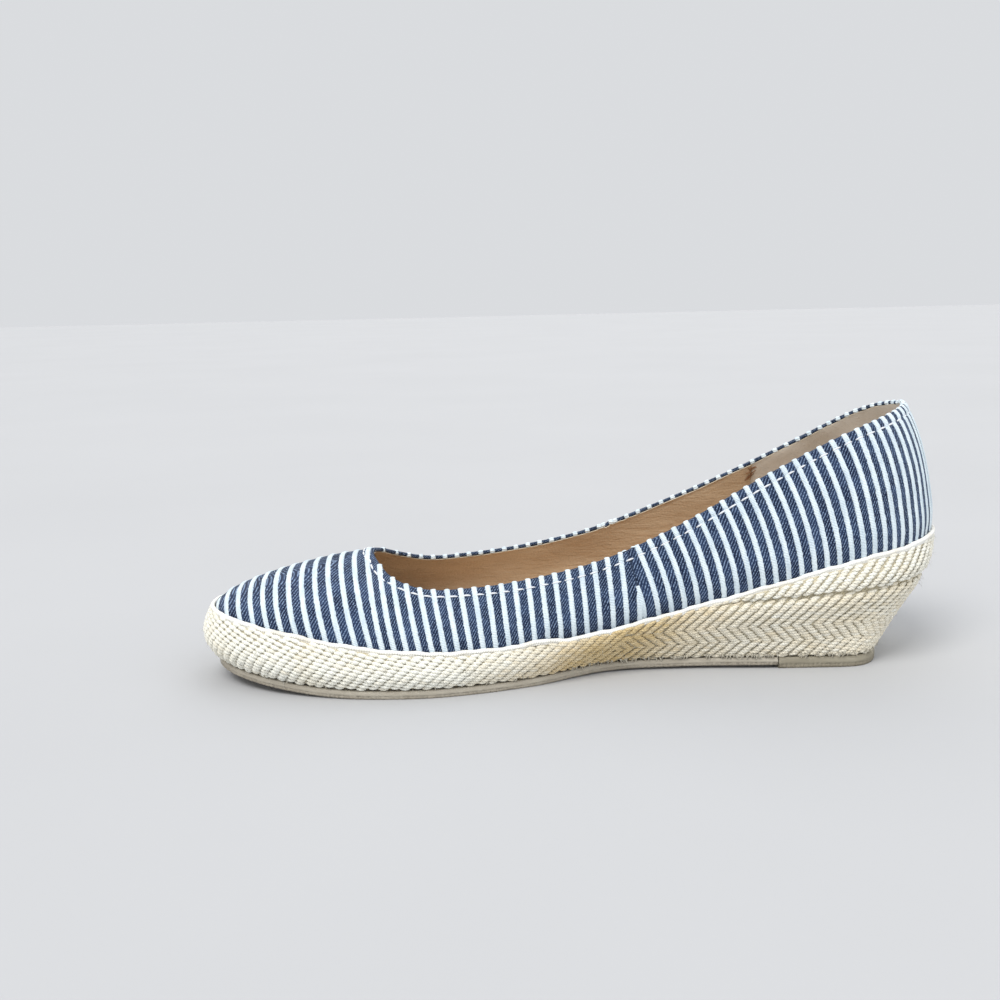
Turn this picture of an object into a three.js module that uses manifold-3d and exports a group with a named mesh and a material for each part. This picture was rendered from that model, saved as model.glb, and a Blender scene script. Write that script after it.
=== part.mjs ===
// A women's slip-on wedge espadrille, right shoe, size EU 39: a low-cut fabric upper on a
// jute-wrapped platform and wedge, with a thin rubber outsole and a rubber heel top piece.
// Millimetres, +Z up. The toe points along -X, the inner (medial) side faces -Y, and the origin is
// on the floor under the middle of the shoe.
import * as THREE from "three";
import Module from "manifold-3d";

const wasm = await Module();
wasm.setup();

// ---- Driving dimensions -------------------------------------------------------------------------

const FEATHER_LENGTH = 245; // heel end to toe end of the feather line, where upper meets sole
const HEEL_X = 123.81; // heel end of the feather line
const HEEL_Y = -0.52; // the heel's middle, a little to the medial side of the whole shoe's middle
const GAP = 0.3; // between pieces that meet
const MEDIAL = -1;
const LATERAL = 1;

const WALL = 1.6; // denim and lining together
const TRAY_DEPTH = 4; // the upper's lower edge and the insole sit this far below the feather line
const INSOLE_THICKNESS = 2.5;
const INSOLE_INSET = 0.45; // the insole stops this far inside the last's feather line
const PIPING_RADIUS = 0.7;
const PIPING_SIDES = 8;
const PIPING_SWELL = 0.16; // share of the upper's swell already reached at the piping

const TREAD_HEEL = 19; // the wedge's back face leans in this far at the floor
const TREAD_TOE = 246;
const OUTSOLE_THICKNESS = 2.7;
const EDGE_UNDERCUT = 0.6; // the rubber's lower edge is rounded back this far
const EDGE_BELLY = 0.2; // and its side stands out this far halfway up
const TOP_PIECE_THICKNESS = 3.8;
const TOP_PIECE_FRONT = 57; // where the heel top piece ends and the outsole begins
const ARCH_LIFT = TOP_PIECE_THICKNESS - OUTSOLE_THICKNESS;
const FLAT_FROM = 142; // the forefoot rests on the floor between these two stations
const FLAT_TO = 192;
const TOE_SPRING = 5;

const WRAP_FRONT = 84; // where the heel wrap tapers out under the feather line
const CREASE_HEIGHT = 23.3; // top of the platform there
const CREASE_RISE = 0.085; // and its slope up towards the heel
const SWELL_HEIGHT = 10; // the upper swells out most this far above the feather line

const HEEL_ROUND = { length: 33, power: 2.0 };
const TOE_ROUND = { length: 78, power: 2.15 };
const TREAD_HEEL_ROUND = { length: 17, power: 2.6 };
const TREAD_TOE_ROUND = { length: 76, power: 2.15 };
const HEEL_FAN = 30; // ribs behind this station turn about one centre
const TOE_FAN = 201; // and so do the ribs ahead of this one

// The last at each station, which is the distance forward of the heel end of the feather line.
//   centre   sideways shift of the section's middle, positive to the lateral side
//   half     half width at the feather line, before the toe and heel are rounded off
//   seat     height of the feather line
//   crown    height of the last's top line
//   power    how full the last's section is: 2 is an ellipse, lower leans in more
//   swell    how far the upper bulges out past the feather line
const LAST = [
  { station: 0, centre: 0, half: 30, seat: 42.5, crown: 107, power: 2.0, swell: 0.8 },
  { station: 30, centre: 0, half: 29.8, seat: 37.5, crown: 93, power: 2.0, swell: 1.2 },
  { station: 60, centre: 0.8, half: 29, seat: 29.2, crown: 82, power: 2.0, swell: 1.4 },
  { station: 90, centre: 2.6, half: 28.5, seat: 21.2, crown: 71, power: 2.0, swell: 2.0 },
  { station: 115, centre: 3.6, half: 31, seat: 15.6, crown: 57, power: 1.9, swell: 1.8 },
  { station: 140, centre: 2.5, half: 35.8, seat: 13.7, crown: 48, power: 1.75, swell: 1.2 },
  { station: 168, centre: 0.9, half: 39.8, seat: 13.2, crown: 39.8, power: 1.7, swell: 0.8 },
  { station: 192, centre: -0.6, half: 39.5, seat: 15.0, crown: 38.4, power: 1.8, swell: 0.6 },
  { station: 220, centre: -3.0, half: 37.3, seat: 19.4, crown: 35, power: 2.0, swell: 0.4 },
  { station: 246, centre: -5, half: 35, seat: 23.5, crown: 32.4, power: 2.0, swell: 0.2 },
];

// The jute's side at each station.
//   tread    half width at the outsole, before the toe and heel are rounded off
//   rim      how far the jute stands outside the upper at the feather line
//   roll     how far the jute bulges out past a straight line from tread to rim
//   peak     how far up the jute's side it bulges most
const SOLE = [
  { station: 0, tread: 27.5, rim: 1.2, roll: 2.8, peak: 0.68 },
  { station: 30, tread: 27, rim: 1.7, roll: 2.6, peak: 0.68 },
  { station: 60, tread: 26, rim: 2.0, roll: 1.6, peak: 0.65 },
  { station: 90, tread: 24.9, rim: 2.0, roll: 0.8, peak: 0.5 },
  { station: 115, tread: 26.8, rim: 2.0, roll: 0.8, peak: 0.5 },
  { station: 140, tread: 37.2, rim: 2.2, roll: 1.2, peak: 0.5 },
  { station: 168, tread: 43.2, rim: 2.4, roll: 1.7, peak: 0.5 },
  { station: 192, tread: 43, rim: 2.4, roll: 2.2, peak: 0.5 },
  { station: 220, tread: 40.2, rim: 2.1, roll: 2.9, peak: 0.47 },
  { station: 246, tread: 37.5, rim: 1.6, roll: 3.4, peak: 0.45 },
];

// The topline seen from the side: the collar is cut along this line, up to the throat on the vamp.
// tilt is how far it lies above that height on the medial side and below it on the lateral side.
const TOPLINE = [
  { station: 0, height: 88.8, tilt: 0 },
  { station: 12, height: 85.3, tilt: 0.5 },
  { station: 30, height: 77.6, tilt: 2.2 },
  { station: 60, height: 63.2, tilt: 2.4 },
  { station: 90, height: 48.6, tilt: 0.8 },
  { station: 115, height: 38.8, tilt: 0.2 },
  { station: 140, height: 33.6, tilt: 0.3 },
  { station: 160, height: 31.6, tilt: 0.2 },
  { station: 176, height: 31.8, tilt: 0.2 },
  { station: 186, height: 34.8, tilt: 0.2 },
  { station: 192.5, height: 39.4, tilt: 0.1 },
  { station: 246, height: 66, tilt: 0 },
];

const STATIONS_PER_SIDE = 44; // along the sole pieces
const RIBS_TO_THROAT = 28; // spacing of the upper's ribs behind the throat
const RIBS_TO_TOE = 14; // and ahead of it
const THROAT_TURN = 0.06; // share of the length over which the collar turns at the throat
const THROAT_RIBS = [1, 0.84, 0.68, 0.52, 0.38, 0.24, 0.12]; // where the ribs stand in that turn
const RIB_STRETCH = 1.2; // keeps the ribs wide apart up to the turn
const RIB_ROOM = 0.01; // least share of the length between the last of them and the turn
const UPPER_LEVELS = 9; // up the wall of the upper
const SIDE_LEVELS = 5; // up the side of the jute

// ---- Curves -------------------------------------------------------------------------------------

const clamp = (value, low, high) => Math.min(high, Math.max(low, value));
const mix = (a, b, share) => a + (b - a) * share;

// A table's column at a station, on a smooth curve through its rows.
function at(table, column, station) {
  const last = table.length - 1;
  const place = clamp(station, table[0].station, table[last].station);
  let i = 0;
  while (i < last - 1 && place > table[i + 1].station) i += 1;
  // The slope of span k, and the tangent at row k as the mean of the spans on both sides.
  const slope = (k) => {
    const [a, b] = [table[k], table[k + 1]];
    return (b[column] - a[column]) / (b.station - a.station);
  };
  const tangent = (k) => (slope(Math.max(k - 1, 0)) + slope(Math.min(k, last - 1))) / 2;
  const span = table[i + 1].station - table[i].station;
  const t = (place - table[i].station) / span;
  return (
    table[i][column] * (1 + 2 * t) * (1 - t) ** 2 +
    table[i + 1][column] * t * t * (3 - 2 * t) +
    span * t * (1 - t) * (tangent(i) * (1 - t) - tangent(i + 1) * t)
  );
}

const section = (column, station) => at(column in LAST[0] ? LAST : SOLE, column, station);

// Share of the full width left at a distance from a rounded end.
const rounding = (distance, round) =>
  distance >= round.length
    ? 1
    : (1 - (1 - Math.max(distance, 0) / round.length) ** round.power) ** (1 / round.power);

// Stations from heel (share 0) to toe (share 1), closer together at both ends.
const spread = (count) =>
  Array.from({ length: count + 1 }, (_, i) => (1 - Math.cos((Math.PI * i) / count)) / 2);

// Half width of an outline at a station.
const FEATHER = {
  column: "half",
  heel: 0,
  toe: FEATHER_LENGTH,
  heelRound: HEEL_ROUND,
  toeRound: TOE_ROUND,
};
const TREAD = {
  column: "tread",
  heel: TREAD_HEEL,
  toe: TREAD_TOE,
  heelRound: TREAD_HEEL_ROUND,
  toeRound: TREAD_TOE_ROUND,
};

function halfWidth(outline, station) {
  const fromHeel = rounding(station - outline.heel, outline.heelRound);
  const fromToe = rounding(outline.toe - station, outline.toeRound);
  return section(outline.column, station) * fromHeel * fromToe;
}

// The point of an outline at a share of its length, on one side, moved outward by grow.
function outlinePoint(outline, share, side, grow = 0) {
  const place = (s) => {
    const station = mix(outline.heel, outline.toe, s);
    return { station, y: section("centre", station) + side * halfWidth(outline, station) };
  };
  const here = place(share);
  if (grow === 0) return here;
  // Near the ends the width changes as the root of the distance, so the step there is tiny.
  const step = 1e-5;
  const before = place(Math.max(share - step, 0));
  const after = place(Math.min(share + step, 1));
  const along = { station: after.station - before.station, y: after.y - before.y };
  const ending = share < step || share > 1 - step;
  const length = ending ? 1 : Math.hypot(along.station, along.y);
  const outward = ending
    ? { station: share < 0.5 ? -1 : 1, y: 0 }
    : { station: (-side * along.y) / length, y: (side * along.station) / length };
  return { station: here.station + grow * outward.station, y: here.y + grow * outward.y };
}

// A station, sideways distance and height as a point in the shoe's frame.
const framed = (station, y, z) => [HEEL_X - station, HEEL_Y + y, z];
const xOf = (station) => HEEL_X - station;

// ---- Heights ------------------------------------------------------------------------------------

const seatHeight = (station) => section("seat", station);
const trayHeight = (station) => seatHeight(station) - TRAY_DEPTH;

// Underside of the outsole: flat under the forefoot, lifted at the arch, sprung at the toe.
function treadHeight(station) {
  const arch = clamp((FLAT_FROM - station) / (FLAT_FROM - TOP_PIECE_FRONT), 0, 1);
  const toe = clamp((station - FLAT_TO) / (TREAD_TOE - FLAT_TO), 0, 1);
  return ARCH_LIFT * arch * (2 - arch) + TOE_SPRING * toe ** 1.8;
}

const outsoleTop = (station) => treadHeight(station) + OUTSOLE_THICKNESS;

// ---- Solids from loops --------------------------------------------------------------------------

// Collects triangles between loops of points, sharing vertices that lie at the same place.
class Skin {
  points = [];
  faces = [];
  known = new Map();

  vertex(point) {
    const key = point.map((v) => Math.round(v * 1e4)).join();
    if (!this.known.has(key)) {
      this.known.set(key, this.points.length / 3);
      this.points.push(...point);
    }
    return this.known.get(key);
  }

  triangle(...corners) {
    const [a, b, c] = corners.map((p) => this.vertex(p));
    if (a !== b && b !== c && c !== a) this.faces.push(a, b, c);
  }

  quad(a, b, c, d) {
    this.triangle(a, b, c);
    this.triangle(a, c, d);
  }

  // The wall from one closed loop to the next. keep says which segments have a face.
  wall(from, to, keep = () => true) {
    from.forEach((point, i) => {
      const next = (i + 1) % from.length;
      if (keep(i, next)) this.quad(point, to[i], to[next], from[next]);
    });
  }

  // A lid straight across a loop, between the points that face each other.
  lid(loop, upward) {
    const count = loop.length;
    for (let i = 0; i < count / 2; i += 1) {
      const corners = [loop[i], loop[i + 1], loop[count - i - 1], loop[(count - i) % count]];
      this.quad(...(upward ? corners.reverse() : corners));
    }
  }

  // Loops in order from the bottom up, closed by a lid at each end.
  static stack(loops) {
    const skin = new Skin();
    skin.lid(loops[0], false);
    loops.slice(1).forEach((loop, i) => skin.wall(loops[i], loop));
    skin.lid(loops[loops.length - 1], true);
    return skin.solid();
  }

  // Loops around a ring's section, the last joined to the first.
  static ring(loops) {
    const skin = new Skin();
    loops.forEach((loop, i) => skin.wall(loop, loops[(i + 1) % loops.length]));
    return skin.solid();
  }

  solid() {
    return new wasm.Manifold(
      new wasm.Mesh({
        numProp: 3,
        vertProperties: new Float32Array(this.points),
        triVerts: new Uint32Array(this.faces),
      }),
    );
  }
}

// A closed loop round the shoe: heel, medial side, toe, lateral side. point(share, side) gives [x, y, z].
function loopOf(shares, point) {
  const last = shares.length - 1;
  const medial = shares.map((share) => point(share, MEDIAL));
  const lateral = shares.slice(1, last).map((share) => point(share, LATERAL));
  return [...medial, ...lateral.reverse()];
}

// A loop along an outline at a height given by the station.
function outlineLoop(shares, outline, grow, height) {
  return loopOf(shares, (share, side) => {
    const p = outlinePoint(outline, share, side, grow);
    return framed(p.station, p.y, height(p.station));
  });
}

// ---- The last and the upper ---------------------------------------------------------------------

// The point of the centre line that the section at a share of the length leans towards.
function spineOf(share) {
  const station = clamp(mix(0, FEATHER_LENGTH, share), HEEL_FAN, TOE_FAN);
  return { station, y: section("centre", station) };
}

// A point of the last, grown outward: angle 0 is on the feather line and a right angle is on top.
function lastPoint(share, side, angle, grow) {
  const foot = outlinePoint(FEATHER, share, side, grow);
  const centre = spineOf(share);
  const power = section("power", foot.station);
  const reach = Math.max(Math.cos(angle), 0) ** (2 / power);
  const seat = seatHeight(foot.station);
  const station = mix(centre.station, foot.station, reach);
  const crown = section("crown", station) + grow;
  const height = (crown - seat) * Math.sin(angle) ** (2 / power);
  const lift = height / SWELL_HEIGHT;
  const swell = section("swell", foot.station) * (lift * Math.exp(1 - lift)) ** 2 * reach;
  const across = Math.hypot(foot.station - centre.station, foot.y - centre.y) || 1;
  return {
    station: station + (swell * (foot.station - centre.station)) / across,
    y: mix(centre.y, foot.y, reach) + (swell * (foot.y - centre.y)) / across,
    z: seat + height,
  };
}

const HALVINGS = 40; // when searching for a place on a curve

// The angle at which a rib of the last meets the topline, or a right angle ahead of the throat.
function collarAngle(share, side, grow) {
  const above = (angle) => {
    const p = lastPoint(share, side, angle, grow);
    return p.z - at(TOPLINE, "height", p.station) + side * at(TOPLINE, "tilt", p.station);
  };
  if (above(Math.PI / 2) < 0) return Math.PI / 2;
  let low = 0;
  let high = Math.PI / 2;
  for (let i = 0; i < HALVINGS; i += 1) {
    const middle = (low + high) / 2;
    if (above(middle) < 0) low = middle;
    else high = middle;
  }
  return high;
}

// The share of the length at which the topline meets the crown: the throat.
function throatShare(grow) {
  let low = 0.5;
  let high = 0.95;
  for (let i = 0; i < HALVINGS; i += 1) {
    const middle = (low + high) / 2;
    if (collarAngle(middle, MEDIAL, grow) < Math.PI / 2) low = middle;
    else high = middle;
  }
  return low;
}

// Stations of the upper's ribs: even along the sides, and closing in on the throat so that the
// collar turns there in a smooth curve.
function upperShares() {
  const throat = throatShare(WALL);
  const toThroat = spread(RIBS_TO_THROAT)
    .map((share) => share * RIB_STRETCH)
    .filter((share) => share < throat - THROAT_TURN - RIB_ROOM);
  const turn = THROAT_RIBS.map((k) => throat - THROAT_TURN * k * k);
  const toToe = spread(RIBS_TO_TOE).map((share) => mix(throat, 1, share));
  return [...toThroat, ...turn, ...toToe];
}

function upper() {
  const shares = upperShares();
  const throat = throatShare(WALL);
  // One skin of the wall, as loops from the tray up to the collar and the ridge of the vamp.
  const skinLoops = (grow) => {
    const tray = outlineLoop(shares, FEATHER, grow, (station) => trayHeight(station) + GAP);
    const ribs = Array.from({ length: UPPER_LEVELS + 1 }, (_, level) =>
      loopOf(shares, (share, side) => {
        const top = share >= throat ? Math.PI / 2 : collarAngle(share, side, WALL);
        const p = lastPoint(share, side, (top * level) / UPPER_LEVELS, grow);
        return framed(p.station, p.y, p.z);
      }),
    );
    return [tray, ...ribs];
  };
  const outer = skinLoops(WALL);
  const inner = skinLoops(0).reverse();
  const loops = [...outer, ...inner];
  const collar = outer.length - 1;
  const open = (i) => {
    const along = i < shares.length ? i : 2 * (shares.length - 1) - i;
    return shares[along] < throat;
  };
  const skin = new Skin();
  loops.forEach((loop, i) => {
    const next = loops[(i + 1) % loops.length];
    // Across the rim there is a face only along the collar, not under the vamp's ridge.
    skin.wall(loop, next, i === collar ? (a, b) => open(a) || open(b) : undefined);
  });
  return skin.solid();
}

// ---- The sole -----------------------------------------------------------------------------------

const SHARES = spread(STATIONS_PER_SIDE);

// The jute's side from the tread (level 0) to the rim at the feather line (level 1).
function juteSide(share, side, level) {
  const foot = outlinePoint(TREAD, share, side);
  const rimGrow = WALL + GAP + section("rim", mix(0, FEATHER_LENGTH, share));
  const rim = outlinePoint(FEATHER, share, side, rimGrow);
  const base = outsoleTop(foot.station) + GAP;
  const bend = Math.log(0.5) / Math.log(section("peak", rim.station));
  const roll = section("roll", rim.station) * Math.sin(Math.PI * level ** bend);
  const centre = spineOf(share);
  const across = Math.hypot(rim.station - centre.station, rim.y - centre.y);
  const out = { station: (rim.station - centre.station) / across, y: (rim.y - centre.y) / across };
  return framed(
    mix(foot.station, rim.station, level) + roll * out.station,
    mix(foot.y, rim.y, level) + roll * out.y,
    mix(base, seatHeight(rim.station), level),
  );
}

function juteBody() {
  const loops = Array.from({ length: SIDE_LEVELS + 1 }, (_, level) =>
    loopOf(SHARES, (share, side) => juteSide(share, side, level / SIDE_LEVELS)),
  );
  return Skin.stack(loops);
}

const TRAY_TOP = 60; // above the whole jute body

// The space in the jute body that takes the upper's lower edge and the insole.
function tray() {
  const grow = WALL + GAP;
  return Skin.stack([
    outlineLoop(SHARES, FEATHER, grow, trayHeight),
    outlineLoop(SHARES, FEATHER, grow, () => TRAY_TOP),
  ]);
}

// A box between two corners.
function block(low, high) {
  const size = high.map((v, i) => v - low[i]);
  const geometry = new THREE.BoxGeometry(...size);
  geometry.translate(...low.map((v, i) => v + size[i] / 2));
  return solidOf(geometry);
}

// A three.js geometry as a solid.
function solidOf(geometry) {
  const skin = new Skin();
  const flat = geometry.index ? geometry.toNonIndexed() : geometry;
  const { array } = flat.getAttribute("position");
  for (let i = 0; i < array.length; i += 9) {
    skin.triangle(...[0, 3, 6].map((k) => Array.from(array.slice(i + k, i + k + 3))));
  }
  return skin.solid();
}

const BEYOND = 200; // outside everything

// Everything of the rear that lies above the crease, lifted by a distance.
function aboveCrease(lift, front) {
  const geometry = new THREE.BoxGeometry(BEYOND, BEYOND, BEYOND);
  geometry.translate(BEYOND / 2, 0, BEYOND / 2 + lift);
  geometry.rotateY(-Math.atan(CREASE_RISE));
  geometry.translate(xOf(front), 0, CREASE_HEIGHT);
  return solidOf(geometry);
}

function platform() {
  return juteBody().subtract(tray()).subtract(aboveCrease(0, WRAP_FRONT));
}

function heelWrap() {
  return juteBody().subtract(tray()).intersect(aboveCrease(GAP, WRAP_FRONT - GAP));
}

// A slab that follows the tread's outline, between two heights.
function treadSlab(bottom, top) {
  const lower = outlineLoop(SHARES, TREAD, -EDGE_UNDERCUT, bottom);
  const edge = outlineLoop(SHARES, TREAD, EDGE_BELLY, (station) => mix(bottom(station), top(station), 0.5));
  const upper = outlineLoop(SHARES, TREAD, 0, top);
  return Skin.stack([lower, edge, upper]);
}

function outsole() {
  const behind = block([xOf(TOP_PIECE_FRONT), -BEYOND, -BEYOND], [BEYOND, BEYOND, BEYOND]);
  return treadSlab(treadHeight, outsoleTop).subtract(behind);
}

function heelTopPiece() {
  const ahead = block([-BEYOND, -BEYOND, -BEYOND], [xOf(TOP_PIECE_FRONT - GAP), BEYOND, BEYOND]);
  return treadSlab(() => 0, () => TOP_PIECE_THICKNESS).subtract(ahead);
}

function insole() {
  const base = (station) => trayHeight(station) + GAP;
  return Skin.stack([
    outlineLoop(SHARES, FEATHER, -INSOLE_INSET, base),
    outlineLoop(SHARES, FEATHER, -INSOLE_INSET, (station) => base(station) + INSOLE_THICKNESS),
  ]);
}

function piping() {
  const loops = Array.from({ length: PIPING_SIDES }, (_, k) => {
    const turn = (2 * Math.PI * k) / PIPING_SIDES;
    const rise = GAP + PIPING_RADIUS * (1 + Math.sin(turn));
    return loopOf(SHARES, (share, side) => {
      const swell = PIPING_SWELL * section("swell", mix(0, FEATHER_LENGTH, share));
      const out = WALL + GAP + swell + PIPING_RADIUS * (1 + Math.cos(turn));
      const p = outlinePoint(FEATHER, share, side, out);
      return framed(p.station, p.y, seatHeight(p.station) + rise);
    });
  });
  return Skin.ring(loops);
}

// ---- The scene ----------------------------------------------------------------------------------

const material = (color, roughness) => new THREE.MeshStandardMaterial({ color, roughness, metalness: 0 });
const DENIM = material(0x2b3656, 0.9);
const JUTE = material(0xd9cca5, 0.95);
const RUBBER = material(0xae9f90, 0.7);
const TAN = material(0xc49a6c, 0.6);
const WHITE = material(0xeeeeea, 0.8);

function named(name, solid, look) {
  const { vertProperties, triVerts } = solid.getMesh();
  const geometry = new THREE.BufferGeometry();
  geometry.setAttribute("position", new THREE.BufferAttribute(vertProperties, 3));
  geometry.setIndex(new THREE.BufferAttribute(triVerts, 1));
  geometry.computeVertexNormals();
  const mesh = new THREE.Mesh(geometry, look);
  mesh.name = name;
  return mesh;
}

const espadrille = new THREE.Group();
espadrille.add(
  named("outsole", outsole(), RUBBER),
  named("heel_top_piece", heelTopPiece(), RUBBER),
  named("platform", platform(), JUTE),
  named("heel_wrap", heelWrap(), JUTE),
  named("insole", insole(), TAN),
  named("upper", upper(), DENIM),
  named("piping", piping(), WHITE),
);

export default espadrille;
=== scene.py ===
"""A striped denim slip-on with a jute wedge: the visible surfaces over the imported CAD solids.

The upper, the jute and the tread follow the same curves as the CAD solids. Lengths in this script are
millimetres and become metres when a mesh is made. The toe points along -X and the medial side faces -Y.
"""
import math

import bpy
import numpy as np
from mathutils import Matrix


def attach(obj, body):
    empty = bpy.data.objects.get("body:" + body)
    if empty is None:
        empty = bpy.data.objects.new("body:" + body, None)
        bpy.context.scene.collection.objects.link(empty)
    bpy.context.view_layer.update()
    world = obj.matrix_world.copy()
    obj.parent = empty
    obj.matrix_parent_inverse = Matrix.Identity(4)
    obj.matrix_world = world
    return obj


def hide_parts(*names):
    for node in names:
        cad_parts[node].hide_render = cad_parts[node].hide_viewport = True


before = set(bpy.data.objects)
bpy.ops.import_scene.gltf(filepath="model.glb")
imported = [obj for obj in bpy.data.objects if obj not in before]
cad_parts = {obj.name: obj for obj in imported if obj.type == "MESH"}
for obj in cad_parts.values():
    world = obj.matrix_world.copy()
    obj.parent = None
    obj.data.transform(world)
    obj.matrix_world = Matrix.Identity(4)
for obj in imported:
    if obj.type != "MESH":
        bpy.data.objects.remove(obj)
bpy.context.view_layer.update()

MM = 0.001
RNG = np.random.default_rng(7)

# ---- The shoe's driving dimensions, as in the CAD ----

FEATHER_LENGTH = 245.0
HEEL_X = 123.81
HEEL_Y = -0.52
MEDIAL = -1
LATERAL = 1
SIDES = (MEDIAL, LATERAL)
WALL = 1.6
GAP = 0.3
TRAY_DEPTH = 4.0
INSOLE_TOP = 2.8 - TRAY_DEPTH
TREAD_HEEL = 19.0
TREAD_TOE = 246.0
OUTSOLE_THICKNESS = 2.7
TOP_PIECE_THICKNESS = 3.8
TOP_PIECE_FRONT = 57.0
ARCH_LIFT = TOP_PIECE_THICKNESS - OUTSOLE_THICKNESS
FLAT_FROM = 142.0
FLAT_TO = 192.0
TOE_SPRING = 5.0
WRAP_FRONT = 84.0
CREASE_HEIGHT = 23.3
CREASE_RISE = 0.085
SWELL_HEIGHT = 10.0
PIPING_SWELL = 0.16
HEEL_FAN = 30.0
TOE_FAN = 201.0

# Section across the shoe at each station: half is the half width at the feather line, tread at the
# outsole, seat the feather line's height, crown the last's top, rim and roll the jute's shape.
SECTION_COLUMNS = (
    "station", "centre", "half", "tread", "seat", "crown", "power", "swell", "rim", "roll", "peak",
)
SECTIONS = np.array([
    (0, 0.0, 30.0, 27.5, 42.5, 107.0, 2.00, 0.8, 1.2, 2.8, 0.68),
    (30, 0.0, 29.8, 27.0, 37.5, 93.0, 2.00, 1.2, 1.7, 2.6, 0.68),
    (60, 0.8, 29.0, 26.0, 29.2, 82.0, 2.00, 1.4, 2.0, 1.6, 0.65),
    (90, 2.6, 28.5, 24.9, 21.2, 71.0, 2.00, 2.0, 2.0, 0.8, 0.50),
    (115, 3.6, 31.0, 26.8, 15.6, 57.0, 1.90, 1.8, 2.0, 0.8, 0.50),
    (140, 2.5, 35.8, 37.2, 13.7, 48.0, 1.75, 1.2, 2.2, 1.2, 0.50),
    (168, 0.9, 39.8, 43.2, 13.2, 39.8, 1.70, 0.8, 2.4, 1.7, 0.50),
    (192, -0.6, 39.5, 43.0, 15.0, 38.4, 1.80, 0.6, 2.4, 2.2, 0.50),
    (220, -3.0, 37.3, 40.2, 19.4, 35.0, 2.00, 0.4, 2.1, 2.9, 0.47),
    (246, -5.0, 35.0, 37.5, 23.5, 32.4, 2.00, 0.2, 1.6, 3.4, 0.45),
])

# The topline's height, and how far it lies above that on the medial side.
TOPLINE_COLUMNS = ("station", "height", "tilt")
TOPLINE = np.array([
    (0, 88.8, 0.0),
    (12, 85.3, 0.5),
    (30, 77.6, 2.2),
    (60, 63.2, 2.4),
    (90, 48.6, 0.8),
    (115, 38.8, 0.2),
    (140, 33.6, 0.3),
    (160, 31.6, 0.2),
    (176, 31.8, 0.2),
    (186, 34.8, 0.2),
    (192.5, 39.4, 0.1),
    (246, 66.0, 0.0),
])

# ---- What the CAD leaves to this script ----

STRIPE_PITCH = 4.45
STRIPE_HALF = 0.80
STRIPE_RISE = 0.34
STITCH_INSET = 2.9  # from the folded edge to the line of topline stitches
STITCH_LENGTH = 3.1
STITCH_PITCH = 4.3
STITCH_RADIUS = 0.33
LINING_DEPTH = 1.45  # from the denim's face to the lining's
LINING_DROP = 0.45  # from the folded edge down to the lining's edge
LINING_WAVE = 0.22  # depth of the lining's broad waves
LINING_FOLLOWS = 0.35  # how much of the denim's relief shows through the lining
LINING_SINK = 2.4  # how far the lining goes down beside the insole
HEEL_LINING_FRONT = 54.0
SEAM_TOP = 107.5  # the side seam between vamp and quarter, at the topline
SEAM_BOTTOM = 102.5
QUARTER_BOW = 0.35  # how much the quarter's stripes straighten up towards the feather line
EDGE_PUFF = 0.22  # how far the denim swells between the folded edge and its stitches
STITCH_GROOVE = 0.6  # half the width of the groove that the stitches pull in
PUFF_FRONT = 196  # the swelling stops at this station, ahead of the throat
SEAM_DEPTH = 0.45  # depth of the side seam's groove, which is as wide, and the ridge behind it
SEAM_RIDGE = 0.22

# How far the stripes' tops lean towards the toe, in degrees from upright.
LEAN_COLUMNS = ("station", "lean")
VAMP_LEAN = np.array([
    (90, 3.5), (131, 3.5), (150, 5.5), (166, 10.0), (182, 14.0), (220, 15.0), (246, 16.0),
])
QUARTER_LEAN = np.array([(0, 0.0), (14, 8.0), (30, 17.0), (60, 21.0), (95, 22.0), (115, 21.0)])

# Soft troughs and ridges of the denim: where each lies, how far up the wall, its
# length along the shoe and height up the wall, how far it stands out, how it leans, and the side
# that it is on, or 0 for both.
CREASE_COLUMNS = ("station", "up", "length", "height", "out", "lean", "side")
CREASES = (
    (14, 12.0, 13, 8.0, -0.55, 0.3, 0),
    (40, 15.0, 20, 6.0, -0.35, 0.2, 0),
    (66, 9.0, 10, 4.0, 0.30, -0.3, 0),
    (84, 12.0, 12, 5.0, -0.30, 0.2, 0),
    (104, 7.0, 9, 3.5, 0.28, 0.0, 0),
    (134, 6.0, 8, 3.5, 0.30, 0.4, -1),
    (146, 9.0, 7, 4.0, -0.32, 0.3, -1),
    (150, 8.0, 9, 4.0, -0.30, 0.3, 1),
    (172, 14.0, 9, 4.0, -0.40, 0.5, 0),
    (186, 17.0, 6, 5.0, 0.35, 0.3, 0),
    (196, 8.0, 11, 5.0, -0.28, 0.2, 0),
    (218, 8.0, 9, 4.0, 0.25, 0.0, 0),
    (232, 5.0, 8, 3.0, -0.22, 0.0, 0),
)

# Height of one row of the jute braid along the platform.
ROW_COLUMNS = ("station", "row")
JUTE_ROWS = np.array([
    (0, 1.24), (60, 1.12), (100, 1.04), (130, 1.06), (168, 1.16), (200, 1.26), (246, 1.40),
])

# Each zone of the braid goes up to a height. Its columns lean by this many millimetres per millimetre
# of height, towards the heel on the medial side, and its bundles slope by this many degrees.
ZONE_COLUMNS = ("top", "lean", "slope")
FOREFOOT_ZONES = ((99.0, 0.85, -3.0),)
WEDGE_ZONES = ((7.2, 0.85, 8.0), (14.4, -0.85, -12.0), (99.0, 0.85, 4.0))
WRAP_ZONES = ((99.0, 0.8, 4.0),)
PLATFORM_PITCH = 3.6  # from one column of the braid to the next
WRAP_PITCH = 3.3
MOST_ROWS = 40
BRAID_CHANGE = WRAP_FRONT + 22  # the wedge's pattern gives way to the forefoot's at this station
LEDGE_WIDTH = 3.0
BACKING_ROWS = 30
FLAT = np.array([1, 1, 0])


# ---- Curves ----

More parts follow.
